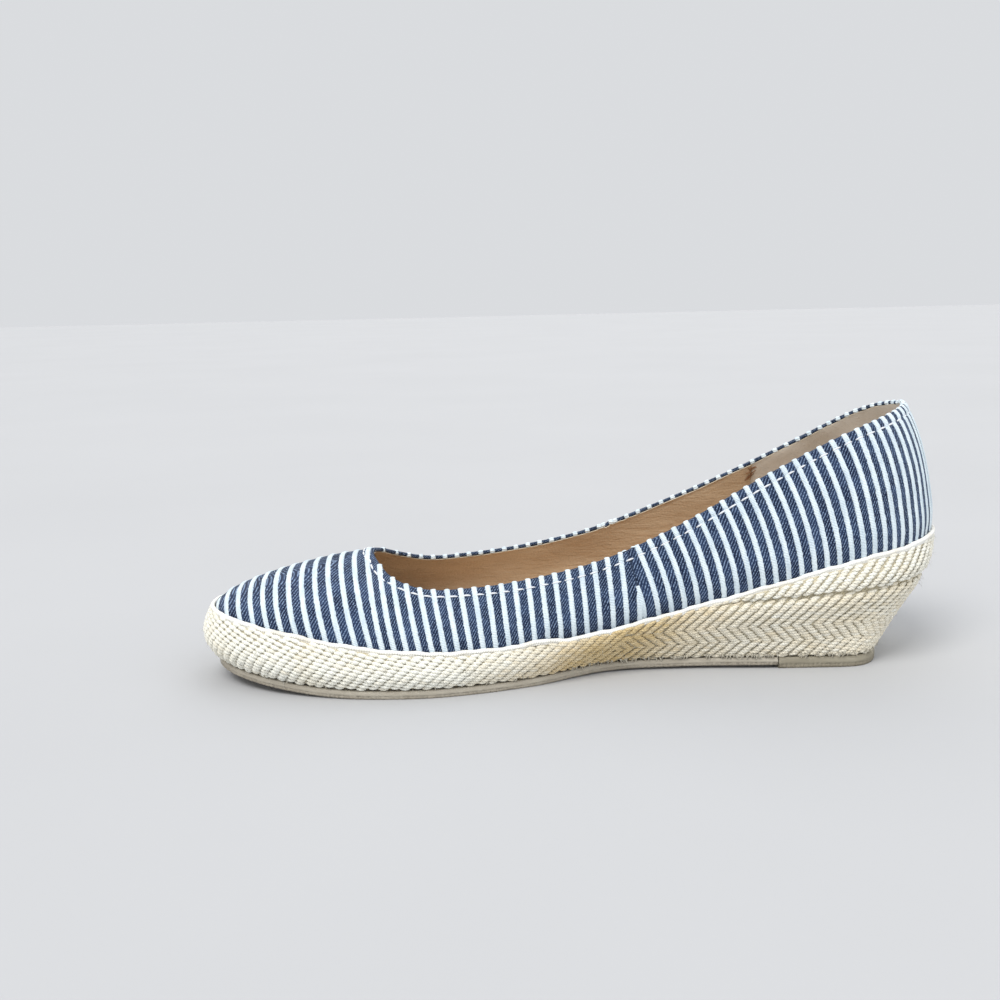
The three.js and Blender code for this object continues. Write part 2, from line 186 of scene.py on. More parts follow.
def smooth_table(table, columns):
    """at(column, station): a smooth curve through the table's rows."""
    knots = table[:, 0].astype(float)
    slopes = np.diff(table, axis=0) / np.diff(knots)[:, None]
    tangents = (np.vstack([slopes[:1], slopes]) + np.vstack([slopes, slopes[-1:]])) / 2

    def at(column, station):
        k = columns.index(column)
        place = np.clip(station, knots[0], knots[-1])
        i = np.clip(np.searchsorted(knots, place, side="left") - 1, 0, len(knots) - 2)
        span = knots[i + 1] - knots[i]
        t = (place - knots[i]) / span
        ends = table[i, k] * (1 + 2 * t) * (1 - t) ** 2 + table[i + 1, k] * t * t * (3 - 2 * t)
        bends = span * t * (1 - t) * (tangents[i, k] * (1 - t) - tangents[i + 1, k] * t)
        return ends + bends

    return at


section = smooth_table(SECTIONS, SECTION_COLUMNS)
topline = smooth_table(TOPLINE, TOPLINE_COLUMNS)
vamp_lean = smooth_table(VAMP_LEAN, LEAN_COLUMNS)
quarter_lean = smooth_table(QUARTER_LEAN, LEAN_COLUMNS)
jute_row = smooth_table(JUTE_ROWS, ROW_COLUMNS)


def mix(a, b, share):
    return a + (b - a) * share


def hump(value):
    return np.exp(-value * value)


def stacked(*values):
    """Values of one shape, or stretched to it, side by side along a new last axis."""
    return np.stack(np.broadcast_arrays(*values), -1)


def merged(*rows):
    """The values of several rows in order, each once."""
    return np.unique(np.concatenate(rows))


def lengths_along(points):
    """Length along a row of points, from 0 at the first."""
    steps = np.linalg.norm(np.diff(points, axis=0), axis=1)
    return np.concatenate([[0], np.cumsum(steps)])


def halved(is_low, low, high, rounds):
    """Narrows the span from low, where is_low holds, to high, where it doesn't."""
    for _ in range(rounds):
        middle = (low + high) / 2
        still_low = is_low(middle)
        low, high = np.where(still_low, middle, low), np.where(still_low, high, middle)
    return low, high


def unit(vectors):
    length = np.linalg.norm(vectors, axis=-1, keepdims=True)
    return vectors / np.maximum(length, 1e-12)


def rounding(distance, length, power):
    """Share of the full width left at a distance from a rounded end."""
    near = np.clip(1 - np.maximum(distance, 0) / length, 0, 1)
    return (1 - near ** power) ** (1 / power)


FEATHER = dict(column="half", heel=0.0, toe=FEATHER_LENGTH, heel_round=(33, 2.0), toe_round=(78, 2.15))
TREAD = dict(column="tread", heel=TREAD_HEEL, toe=TREAD_TOE, heel_round=(17, 2.6), toe_round=(76, 2.15))


def half_width(outline, station):
    from_heel = rounding(station - outline["heel"], *outline["heel_round"])
    from_toe = rounding(outline["toe"] - station, *outline["toe_round"])
    return section(outline["column"], station) * from_heel * from_toe


def outline_point(outline, share, side, grow=0.0):
    """Station and sideways distance of an outline at a share of its length, moved outward by grow."""
    share = np.asarray(share, float)

    def place(s):
        station = mix(outline["heel"], outline["toe"], s)
        return station, section("centre", station) + side * half_width(outline, station)

    step = 1e-5
    x, y = place(share)
    x0, y0 = place(np.maximum(share - step, 0))
    x1, y1 = place(np.minimum(share + step, 1))
    length = np.hypot(x1 - x0, y1 - y0)
    ends = (share < step) | (share > 1 - step)
    out_x = np.where(ends, np.where(share < 0.5, -1.0, 1.0), -side * (y1 - y0) / length)
    out_y = np.where(ends, 0.0, side * (x1 - x0) / length)
    return x + grow * out_x, y + grow * out_y


def seat_height(station):
    return section("seat", station)


def tread_height(station):
    """Underside of the outsole: flat under the forefoot, lifted at the arch, sprung at the toe."""
    arch = np.clip((FLAT_FROM - station) / (FLAT_FROM - TOP_PIECE_FRONT), 0, 1)
    toe = np.clip((station - FLAT_TO) / (TREAD_TOE - FLAT_TO), 0, 1)
    return ARCH_LIFT * arch * (2 - arch) + TOE_SPRING * toe ** 1.8


def outsole_top(station):
    return tread_height(station) + OUTSOLE_THICKNESS


def crease_height(station):
    """Height of the crease between the platform's jute and the heel wrap."""
    return CREASE_HEIGHT + CREASE_RISE * (WRAP_FRONT - station)


def spine(share):
    """The middle line that the ribs spread from: they fan out round its ends."""
    station = np.clip(np.asarray(share, float) * FEATHER_LENGTH, HEEL_FAN, TOE_FAN)
    return station, section("centre", station)


def framed(station, y, z):
    """Points in the frame, from stations along the shoe, places across it and heights."""
    return stacked(HEEL_X - station, HEEL_Y + y, z)


def spread(count):
    """Shares from 0 to 1, closer together at both ends."""
    return (1 - np.cos(np.pi * np.arange(count + 1) / count)) / 2


# ---- The last and the denim's face ----

HALVINGS = 40
THROAT_SEARCH = (0.5, 0.95)  # shares between which the throat lies
NEAR_THROAT = 0.06  # the share behind the throat that has extra points
STEP = 2e-4  # a share, and a part of the wall's height, over which a slope is taken
WALL_STEP = 4e-3
POLE_FROM = 0.94  # the toe's ribs run together above this part of the wall's height
POLE_NORMAL = np.array([0.12, 0.0, 1.0])


def last_point(share, side, angle, grow):
    """A point of the last: angle 0 is on the feather line and a right angle is on top."""
    foot_x, foot_y = outline_point(FEATHER, share, side, grow)
    centre_x, centre_y = spine(share)
    power = section("power", foot_x)
    reach = np.maximum(np.cos(angle), 0) ** (2 / power)
    seat = seat_height(foot_x)
    x = mix(centre_x, foot_x, reach)
    height = (section("crown", x) + grow - seat) * np.sin(angle) ** (2 / power)
    lift = height / SWELL_HEIGHT
    swell = section("swell", foot_x) * (lift * np.exp(1 - lift)) ** 2 * reach
    across = np.maximum(np.hypot(foot_x - centre_x, foot_y - centre_y), 1e-9)
    out_x = x + swell * (foot_x - centre_x) / across
    out_y = mix(centre_y, foot_y, reach) + swell * (foot_y - centre_y) / across
    return out_x, out_y, seat + height


def collar_angle(share, side):
    """The angle at which a rib meets the topline, or a right angle ahead of the throat."""
    share = np.asarray(share, float)

    def above(angle):
        x, _, z = last_point(share, side, angle, WALL)
        return z - topline("height", x) + side * topline("tilt", x)

    upright = np.full_like(share, np.pi / 2)
    closed = above(upright) < 0
    _, high = halved(lambda angle: above(angle) < 0, np.zeros_like(share), upright, HALVINGS)
    return np.where(closed, np.pi / 2, high)


def find_throat():
    """The share at which the two sides of the collar meet."""

    def is_open(share):
        return collar_angle(np.array([share]), MEDIAL)[0] < np.pi / 2

    low, _ = halved(is_open, *THROAT_SEARCH, HALVINGS)
    return float(low)


THROAT = find_throat()
near_throat = THROAT - NEAR_THROAT * (np.arange(41) / 40) ** 2
KNOWN_SHARES = merged(spread(1200), near_throat, [THROAT])
KNOWN_TOPS = {
    side: np.where(KNOWN_SHARES >= THROAT, np.pi / 2, collar_angle(KNOWN_SHARES, side)) for side in SIDES
}


def top_angle(share, side):
    """The angle at which the denim ends, at the collar or on the ridge."""
    return np.interp(share, KNOWN_SHARES, KNOWN_TOPS[side])


def seam_station(up):
    """Station of the side seam at a share of the way up the wall."""
    return mix(SEAM_BOTTOM, SEAM_TOP, up)


def relief(x, z, up, side):
    """How far the denim stands out from the last's smooth shape."""
    edge = np.maximum(topline("height", x) - side * topline("tilt", x) - z, 0)
    puff = EDGE_PUFF * np.sin(np.pi * np.clip(edge / STITCH_INSET, 0, 1))
    puff = puff - EDGE_PUFF * hump((edge - STITCH_INSET) / STITCH_GROOVE)
    out = np.where(x < PUFF_FRONT, puff, 0.0)
    lift = z - seat_height(np.clip(x, 0, FEATHER_LENGTH))
    for row in CREASES:
        crease = dict(zip(CREASE_COLUMNS, row))
        if crease["side"] not in (0, side):
            continue
        along = (x - crease["station"] + crease["lean"] * (lift - crease["up"])) / crease["length"]
        out = out + crease["out"] * hump(along) * hump((lift - crease["up"]) / crease["height"])
    # The wall is gathered under the piping, and the side seam is a shallow groove beside a soft ridge.
    gather = 0.10 * np.sin(x * 1.1 + 0.7 * side) + 0.08 * np.sin(x * 0.63 + 1.0)
    out = out + gather * hump((lift - 1.5) / 3.5)
    beside = x - seam_station(up)
    return out - SEAM_DEPTH * hump(beside / SEAM_DEPTH) + SEAM_RIDGE * hump((beside + 1.6) / 0.9)


def skin(share, side, up):
    """The denim's face without relief: up is 0 at the feather line, 1 at the collar or ridge."""
    share, up = np.broadcast_arrays(np.asarray(share, float), np.asarray(up, float))
    return last_point(share, side, top_angle(share, side) * up, WALL)


def plain_normal(share, side, up):
    ahead = framed(*skin(np.minimum(share + STEP, 1), side, up))
    behind = framed(*skin(np.maximum(share - STEP, 0), side, up))
    above = framed(*skin(share, side, np.minimum(up + WALL_STEP, 1)))
    below = framed(*skin(share, side, np.maximum(up - WALL_STEP, 0)))
    return side * unit(np.cross(unit(ahead - behind), unit(above - below)))


def denim_face(share, side, up):
    """Points and normals of the denim's face, with its relief."""
    share, up = np.broadcast_arrays(np.asarray(share, float), np.asarray(up, float))
    x, y, z = skin(share, side, up)
    normal = plain_normal(share, side, up)
    # Towards the pole of the toe's fan the ribs run together, so the normal turns straight up.
    pole = np.clip((up - POLE_FROM) / 0.06, 0, 1) * (share >= TOE_FAN / FEATHER_LENGTH - 1e-3)
    normal = unit(mix(normal, POLE_NORMAL, pole[..., None]))
    lifted = relief(x, z, up, side) * (1 - pole)
    return framed(x, y, z) + normal * lifted[..., None], normal


# ---- The cloth's own coordinate across the stripes ----

def ridge_table():
    """Height of the vamp's ridge and length along it, at stations from the throat to the toe."""
    back = np.linspace(THROAT * FEATHER_LENGTH, TOE_FAN, 30)
    x1, _, z1 = last_point(back / FEATHER_LENGTH, MEDIAL, np.pi / 2, WALL)
    x2, _, z2 = last_point(np.ones(200), MEDIAL, np.linspace(np.pi / 2, 0, 200), WALL)
    x, z = np.concatenate([x1, x2[1:]]), np.concatenate([z1, z2[1:]])
    length = np.concatenate([[0], np.cumsum(np.hypot(np.diff(x), np.diff(z)))])
    return x, z, length + x[0]


RIDGE_X, RIDGE_Z, RIDGE_LENGTH = ridge_table()


def heel_length_table():
    """Length round the quarter from the centre back, about half way up the wall."""
    shares = merged(spread(600), np.linspace(0, 0.02, 60))
    points = framed(*skin(shares, MEDIAL, 0.45))
    return shares, lengths_along(points)


HEEL_SHARES, HEEL_LENGTHS = heel_length_table()


def vamp_cloth(share, side, up):
    """Place along the ridge from which a stripe of the vamp comes down to a point of the denim."""
    x, _, z = skin(share, side, up)
    collar = np.minimum(topline("height", x) - side * topline("tilt", x), RIDGE_Z[0])
    top = np.where(x > RIDGE_X[0], np.interp(x, RIDGE_X, RIDGE_Z), collar)
    drop = np.maximum(top - z, 0)
    along = np.where(x > RIDGE_X[0], np.interp(x, RIDGE_X, RIDGE_LENGTH), x)
    return along + np.tan(np.radians(vamp_lean("lean", x))) * drop


def quarter_cloth(share, side, up):
    """Length round the quarter, from the middle of the heel, at which a point's stripe starts."""
    x, _, z = skin(share, side, up)
    drop = topline("height", x) - z
    along = np.interp(share, HEEL_SHARES, HEEL_LENGTHS)
    slope = np.tan(np.radians(quarter_lean("lean", np.clip(x, 0, 130))))
    wall = topline("height", x) - seat_height(np.clip(x, 0, FEATHER_LENGTH))
    return along + slope * drop * (1 - QUARTER_BOW * drop / wall)


# ---- Meshes ----

def grid_quads(rows, columns, closed=False, flip=False):
    """Quads of a grid of points in rows; closed joins the last column to the first."""
    i = np.arange(rows - 1)[:, None] * columns
    j = np.arange(columns if closed else columns - 1)[None, :]
    k = (j + 1) % columns
    quads = stacked(i + j, i + k, i + columns + k, i + columns + j).reshape(-1, 4)
    return quads[:, ::-1] if flip else quads


def surface(points, coordinates, tone=1.0, closed=False, flip=False):
    """A grid of points as a part: points, quads, coordinates for the weave, and a tone."""
    return points, grid_quads(*points.shape[:2], closed, flip), coordinates, tone


def join(parts):
    """Joins parts into one, and gives each point a tone of its own."""
    points, quads, coordinates, tones, start = [], [], [], [], 0
    for part_points, part_quads, part_coordinates, part_tones in parts:
        points.append(part_points.reshape(-1, 3))
        quads.append(part_quads + start)
        coordinates.append(part_coordinates.reshape(-1, 2))
        tones.append(np.broadcast_to(part_tones, part_coordinates.shape[:-1]).reshape(-1))
        start += points[-1].shape[0]
    return [np.concatenate(values) for values in (points, quads, coordinates, tones)]


def piece(name, made, look, nodes=(), weld=0.0):
    """One Blender object from points, quads, a coordinate in millimetres for the weave, and a tone."""
    points, quads, coordinates, tones = made
    mesh = bpy.data.meshes.new(name)
    mesh.from_pydata((points * MM).tolist(), [], quads.tolist())
    corner = np.empty(len(mesh.loops), dtype=np.int32)
    mesh.loops.foreach_get("vertex_index", corner)
    layer = mesh.uv_layers.new(name="weave")
    layer.data.foreach_set("uv", (coordinates[corner] * 0.01).astype(np.float32).ravel())
    tone = mesh.attributes.new("tone", "FLOAT", "POINT")
    tone.data.foreach_set("value", tones.astype(np.float32))
    mesh.shade_smooth()
    mesh.materials.append(look)
    obj = bpy.data.objects.new(name, mesh)
    bpy.context.scene.collection.objects.link(obj)
    if weld:
        modifier = obj.modifiers.new("weld", "WELD")
        modifier.merge_threshold = weld * MM
    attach(obj, "root")
    if nodes:
        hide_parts(*nodes)


def tube(path, radius, sides, closed=False, up=(0.0, 0.0, 1.0), tone=0.5):
    """A tube along a path of points. radius is a number or one for each point."""
    path = np.asarray(path, float)
    if closed:
        along = unit(np.roll(path, -1, axis=0) - np.roll(path, 1, axis=0))
    else:
        along = unit(np.gradient(path, axis=0))
    across = unit(np.cross(along, np.broadcast_to(np.asarray(up, float), path.shape)))
    lift = np.cross(across, along)
    turn = 2 * np.pi * np.arange(sides) / sides
    radius = np.broadcast_to(radius, len(path))[:, None, None]
    ring = np.cos(turn)[:, None] * across[:, None] + np.sin(turn)[:, None] * lift[:, None]
    points = path[:, None] + radius * ring
    quads = grid_quads(len(path), sides, closed=True)
    if closed:
        here = np.arange(sides)
        beside = (here + 1) % sides
        last = (len(path) - 1) * sides
        quads = np.concatenate([quads, np.stack([last + here, last + beside, beside, here], -1)])
    return points, quads, stacked(lengths_along(path)[:, None], turn), tone


GRAIN_RINGS = np.array([-1.0, -0.86, -0.45, 0.0, 0.45, 0.86, 1.0])
GRAIN_SIDES = 7
GRAIN_SHIFT = 37.0  # shifts the yarn's pattern from one bundle to the next


def grains(place, along, normal, length, width, height, dip, tone):
    """Short bundles of yarn, each arched so that its ends dive under its neighbours."""
    across = unit(np.cross(normal, along))
    turn = 2 * np.pi * np.arange(GRAIN_SIDES) / GRAIN_SIDES
    ring = GRAIN_RINGS[:, None]
    fat = np.sqrt(np.maximum(1 - ring ** 2, 0.02)) ** 0.75
    side, lift = fat * np.cos(turn), fat * np.sin(turn)

    def scaled(value, pattern):
        return value[:, None, None] * pattern

    lengthwise = scaled(length / 2, np.broadcast_to(ring, side.shape))
    sideways = scaled(width / 2, side)
    outward = scaled(height / 2, lift) - scaled(dip, np.broadcast_to(ring ** 2, side.shape))
    points = (
        place[:, None, None]
        + lengthwise[..., None] * along[:, None, None]
        + sideways[..., None] * across[:, None, None]
        + outward[..., None] * normal[:, None, None]
    )
    one = grid_quads(*side.shape, closed=True)
    quads = (one[None] + (np.arange(len(place)) * side.size)[:, None, None]).reshape(-1, 4)
    coordinates = stacked(lengthwise, turn * 0.5) + tone[:, None, None, None] * GRAIN_SHIFT
    return join([(points, quads, coordinates, tone[:, None, None])])


# ---- Materials ----

class Look:
    """A material's nodes, with short names for the ones that are used again and again."""

    def __init__(self, name, roughness, sheen=0.0, specular=0.3):
        self.material = bpy.data.materials.new(name)
        self.material.use_nodes = True
        self.tree = self.material.node_tree
        self.shader = self.tree.nodes["Principled BSDF"]
        self.shader.inputs["Roughness"].default_value = roughness
        self.shader.inputs["Specular IOR Level"].default_value = specular
        self.shader.inputs["Sheen Weight"].default_value = sheen
        self.shader.inputs["Sheen Roughness"].default_value = 0.5
        self.height = None

    def node(self, kind, **settings):
        node = self.tree.nodes.new(kind)
        for key, value in settings.items():
            setattr(node, key, value)
        return node

    def link(self, source, target):
        self.tree.links.new(source, target)

    def weave(self, stretch=(1.0, 1.0), turn=0.0):
        """The mesh's own weave coordinate, in millimetres."""
        coordinate = self.node("ShaderNodeUVMap", uv_map="weave")
        mapping = self.node("ShaderNodeMapping")
        mapping.inputs["Scale"].default_value = (100 * stretch[0], 100 * stretch[1], 1)
        mapping.inputs["Rotation"].default_value = (0, 0, math.radians(turn))
        self.link(coordinate.outputs["UV"], mapping.inputs["Vector"])
        return mapping.outputs["Vector"]

    def place(self, stretch=(1.0, 1.0, 1.0)):
        """The place on the object, in millimetres."""
        coordinate = self.node("ShaderNodeTexCoord")
        mapping = self.node("ShaderNodeMapping")
        mapping.inputs["Scale"].default_value = tuple(1000 * s for s in stretch)
        self.link(coordinate.outputs["Object"], mapping.inputs["Vector"])
        return mapping.outputs["Vector"]

    def noise(self, vector, scale, detail=3.0, roughness=0.55, distortion=0.0):
        node = self.node("ShaderNodeTexNoise")
        node.inputs["Scale"].default_value = scale
        node.inputs["Detail"].default_value = detail
        node.inputs["Roughness"].default_value = roughness
        node.inputs["Distortion"].default_value = distortion
        self.link(vector, node.inputs["Vector"])
        return node.outputs["Fac"]

    def wave(self, vector, pitch, distortion=0.0, detail=1.0, detail_scale=1.0, direction="X"):
        """Parallel ridges this many millimetres apart."""
        settings = {"wave_type": "BANDS", "bands_direction": direction, "wave_profile": "SIN"}
        node = self.node("ShaderNodeTexWave", **settings)
        node.inputs["Scale"].default_value = math.pi / (10 * pitch)
        node.inputs["Distortion"].default_value = distortion
        node.inputs["Detail"].default_value = detail
        node.inputs["Detail Scale"].default_value = detail_scale
        self.link(vector, node.inputs["Vector"])
        return node.outputs["Fac"]

    def cells(self, vector, scale):
        node = self.node("ShaderNodeTexVoronoi", feature="F1")
        node.inputs["Scale"].default_value = scale
        self.link(vector, node.inputs["Vector"])
        return node.outputs["Distance"]

    def tone(self):
        return self.node("ShaderNodeAttribute", attribute_name="tone").outputs["Fac"]

    def times(self, a, b):
        """The product of a node's value and a number or another node's value."""
        node = self.node("ShaderNodeMath", operation="MULTIPLY")
        self.link(a, node.inputs[0])
        if isinstance(b, float):
            node.inputs[1].default_value = b
        else:
            self.link(b, node.inputs[1])
        return node.outputs[0]

    def ramp(self, factor, low, high, out_low=0.0, out_high=1.0):
        node = self.node("ShaderNodeMapRange", interpolation_type="SMOOTHSTEP")
        node.inputs["From Min"].default_value = low
        node.inputs["From Max"].default_value = high
        node.inputs["To Min"].default_value = out_low
        node.inputs["To Max"].default_value = out_high
        self.link(factor, node.inputs["Value"])
        return node.outputs["Result"]

    def blend(self, factor, a, b):
        """Colour a where the factor is 0 and b where it is 1. A colour is a tuple or another node's."""
        node = self.node("ShaderNodeMix", data_type="RGBA")
        for socket, value in ((node.inputs[6], a), (node.inputs[7], b)):
            if isinstance(value, tuple):
                socket.default_value = colour(*value)
            else:
                self.link(value, socket)
        self.link(factor, node.inputs[0])
        return node.outputs[2]

    def over(self, base, factor, low, high, amount, shade):
        """A colour over the base, by up to this amount, where a factor goes from low to high."""
        return self.blend(self.ramp(factor, low, high, 0.0, amount), base, shade)

    def bump(self, height, distance):
        """Adds a bump of this many millimetres on top of those before it."""
        node = self.node("ShaderNodeBump")
        node.inputs["Distance"].default_value = distance * MM
        self.link(height, node.inputs["Height"])
        if self.height is not None:
            self.link(self.height, node.inputs["Normal"])
        self.height = node.outputs["Normal"]

    def done(self, base, roughness=None):
        self.link(base, self.shader.inputs["Base Color"])
        if roughness is not None:
            self.link(roughness, self.shader.inputs["Roughness"])
        if self.height is not None:
            self.link(self.height, self.shader.inputs["Normal"])
        return self.material


def colour(red, green, blue):
    """Linear colour from 0 to 255 screen values."""

    def linear(value):
        value /= 255
        return value / 12.92 if value <= 0.04045 else ((value + 0.055) / 1.055) ** 2.4

    return (linear(red), linear(green), linear(blue), 1.0)


def denim_look():
    look = Look("navy_denim", 0.92, sheen=0.08, specular=0.12)
    twill = look.wave(look.weave(turn=33), 0.8, distortion=1.4, detail=2.0, detail_scale=2.0)
    threads = look.wave(look.weave(), 0.42, distortion=0.8, detail_scale=3.0, direction="Y")
    patches = look.noise(look.weave(), 0.16, detail=4.0)
    streaks = look.noise(look.weave(stretch=(2.2, 0.25)), 0.9, detail=2.0)
    flecks = look.noise(look.weave(), 1.9, detail=2.0)
    base = look.blend(look.ramp(patches, 0.35, 0.68), (22, 35, 62), (50, 68, 100))
    base = look.over(base, streaks, 0.45, 0.8, 0.5, (70, 90, 122))
    light = look.times(look.ramp(twill, 0.45, 0.95), look.ramp(flecks, 0.38, 0.62))
    base = look.blend(look.times(light, 0.8), base, (150, 172, 202))
    shade = look.times(look.ramp(twill, 0.35, 0.0), 0.5)
    base = look.blend(shade, base, (14, 22, 38))
    # Painted shade: the cloth darkens towards navy-black where its tone is low, close to the piping.
    base = look.blend(look.ramp(look.tone(), 0.0, 1.0, 0.6, 0.0), base, (16, 20, 34))
    look.bump(twill, 0.16)
    look.bump(threads, 0.05)
    look.bump(patches, 0.25)
    return look.done(base)


def stripe_look():
    look = Look("white_cord", 0.85, sheen=0.1, specular=0.2)
    picks = look.wave(look.weave(), 0.52, distortion=0.8, detail_scale=2.0, direction="Y")
    grime = look.noise(look.weave(stretch=(0.6, 0.12)), 1.0, detail=3.0)
    base = look.blend(look.ramp(grime, 0.35, 0.75), (236, 248, 253), (210, 226, 236))
    base = look.over(base, picks, 0.35, 0.0, 0.35, (168, 184, 204))
    # Painted shade: the stripes darken where their tone is low, close to the piping.
    base = look.blend(look.ramp(look.tone(), 0.0, 1.0, 0.55, 0.0), base, (150, 160, 178))
    look.bump(picks, 0.14)
    look.bump(look.noise(look.weave(), 3.0, detail=2.0), 0.08)
    return look.done(base)


def thread_look(name, light, dark):
    look = Look(name, 0.7, sheen=0.1)
    twist = look.wave(look.weave(stretch=(1.0, 0.5), turn=35), 0.32)
    base = look.blend(twist, dark, light)
    look.bump(twist, 0.06)
    return look.done(base)


def piping_look():
    look = Look("white_piping", 0.85, sheen=0.1, specular=0.2)
    twist = look.wave(look.weave(stretch=(1.0, 0.45), turn=30), 0.7, distortion=0.6, detail=1.0)
    grime = look.noise(look.place(), 0.12, detail=4.0)
    base = look.blend(look.ramp(grime, 0.4, 0.75), (254, 254, 250), (238, 233, 220))
    base = look.over(base, twist, 0.3, 0.0, 0.3, (206, 202, 192))
    look.bump(twist, 0.14)
    return look.done(base)


def jute_look(name, light, dark):
    """Plied yarn: twisted fibres with fine hairs, lighter and browner from one bundle to the next."""
    look = Look(name, 0.9, sheen=0.15, specular=0.15)
    fibres = look.noise(look.weave(stretch=(0.9, 5.0), turn=18), 1.6, detail=3.0, roughness=0.7)
    ply = look.wave(look.weave(stretch=(1.0, 1.4), turn=38), 0.75, distortion=0.9, detail=2.0)
    patches = look.noise(look.place(), 0.07, detail=3.0)
    # The tone sets the colour between dark and light: it carries the bundles' own differences and the
    # painted shade of the waist and the backing.
    base = look.blend(look.tone(), dark, light)
    base = look.over(base, patches, 0.4, 0.72, 0.22, (244, 232, 200))
    base = look.over(base, fibres, 0.5, 0.3, 0.20, (214, 196, 156))
    base = look.over(base, fibres, 0.55, 0.8, 0.45, (255, 254, 248))
    base = look.over(base, ply, 0.25, 0.0, 0.18, (206, 188, 148))
    look.bump(ply, 0.16)
    look.bump(fibres, 0.12)
    return look.done(base)


def rubber_look(name, light, dark):
    look = Look(name, 0.62, specular=0.4)
    clouds = look.noise(look.place(stretch=(0.25, 0.25, 1.0)), 0.5, detail=4.0)
    grit = look.noise(look.place(), 3.2, detail=3.0, roughness=0.7)
    scuffs = look.noise(look.place(stretch=(0.3, 0.3, 1.2)), 0.8, detail=3.0)
    base = look.blend(look.ramp(clouds, 0.3, 0.7), dark, light)
    base = look.over(base, grit, 0.58, 0.75, 0.35, (120, 108, 94))
    base = look.over(base, scuffs, 0.6, 0.76, 0.3, (208, 202, 188))
    base = look.blend(look.tone(), (112, 100, 86), base)
    look.bump(grit, 0.12)
    look.bump(clouds, 0.15)
    return look.done(base, look.ramp(scuffs, 0.3, 0.8, 0.5, 0.78))


def leather_look(name, light, dark, deep):
    look = Look(name, 0.5, specular=0.35)
    clouds = look.noise(look.place(stretch=(0.35, 1.0, 1.0)), 0.09, detail=4.0)
    pores = look.cells(look.place(), 1.1)
    wrinkles = look.noise(look.place(stretch=(0.3, 1.0, 1.6)), 0.35, detail=5.0, distortion=0.6)
    base = look.blend(look.ramp(clouds, 0.3, 0.7), dark, light)
    base = look.over(base, wrinkles, 0.56, 0.75, 0.45, deep)
    base = look.over(base, pores, 0.28, 0.0, 0.25, deep)
    base = look.blend(look.tone(), deep, base)
    look.bump(pores, 0.09)
    look.bump(wrinkles, 0.5)
    return look.done(base, look.ramp(clouds, 0.3, 0.8, 0.44, 0.62))


def suede_look():
    look = Look("heel_suede", 0.95, sheen=0.35, specular=0.1)
    nap = look.noise(look.place(stretch=(1.0, 1.0, 1.6)), 1.1, detail=4.0, roughness=0.7)
    clouds = look.noise(look.place(), 0.08, detail=3.0)
    base = look.blend(look.ramp(clouds, 0.3, 0.7), (204, 195, 181), (220, 213, 202))
    base = look.over(base, nap, 0.52, 0.75, 0.55, (180, 168, 152))
    base = look.blend(look.tone(), (150, 132, 110), base)
    look.bump(nap, 0.22)
    return look.done(base)


DENIM = denim_look()
STRIPE = stripe_look()
THREAD = thread_look("white_thread", (252, 253, 255), (226, 230, 236))
BROWN_THREAD = thread_look("brown_thread", (158, 112, 74), (116, 78, 50))
PIPING = piping_look()
JUTE = jute_look("jute_yarn", (255, 255, 246), (222, 196, 142))
# The backing's duller, darker yarn colour is painted shade for the gaps between the bundles.
JUTE_SHADE = jute_look("jute_backing_painted_shade", (232, 224, 200), (214, 203, 172))
RUBBER = rubber_look("outsole_rubber", (184, 177, 162), (168, 160, 145))
HEEL_RUBBER = rubber_look("top_piece_rubber", (156, 149, 131), (142, 135, 118))
LINING = leather_look("tan_lining", (200, 176, 146), (184, 158, 128), (152, 124, 98))
SOCK = leather_look("tan_sock", (204, 178, 148), (188, 160, 130), (154, 126, 98))
EDGE = leather_look("cream_edge", (236, 226, 206), (222, 210, 188), (196, 180, 154))
SUEDE = suede_look()

# ---- The denim upper ----

seam_shares = np.linspace(SEAM_BOTTOM - 4, SEAM_TOP + 4, 60) / FEATHER_LENGTH
UPPER_SHARES = merged(
    spread(300), near_throat, np.linspace(THROAT, THROAT + 0.02, 12), seam_shares, [THROAT],
)
UPPER_UPS = np.linspace(0, 1, 64)


def cloth_coordinates(share, side, up):
    """The cloth's coordinate across the stripes and the height up the wall."""
    x, y, z = skin(share, side, up)
    on_vamp = x > seam_station(up)
    across = np.where(on_vamp, vamp_cloth(share, side, up), quarter_cloth(share, side, up))
    _, y_foot = outline_point(FEATHER, share, side, WALL)
    return stacked(side * across, z + 0.6 * np.abs(y_foot - y))


def shade_of(share, side, up):
    """Tone 1 in the open and less close to the piping, where painted shade darkens the cloth."""
    x, _, z = skin(share, side, up)
    lift = z - seat_height(np.clip(x, 0, FEATHER_LENGTH))
    waist = hump((x - 112) / 34)
    return 1 - (0.35 + 0.65 * waist) * np.exp(-np.maximum(lift - 1.2, 0) / 2.2)


def upper_side(side):
    """One side of the denim, from the feather line to the collar and the vamp's ridge."""
    share, up = np.meshgrid(UPPER_SHARES, UPPER_UPS)
    points, _ = denim_face(share, side, up)
    if side == LATERAL:
        # Both sides share the ridge, so the halves meet without a step.
        ridge = UPPER_SHARES >= THROAT
        medial, _ = denim_face(share[-1:], MEDIAL, up[-1:])
        points[-1, ridge] = medial[0, ridge]
    cloth, shade = cloth_coordinates(share, side, up), shade_of(share, side, up)
    return surface(points, cloth, shade, flip=side == MEDIAL)


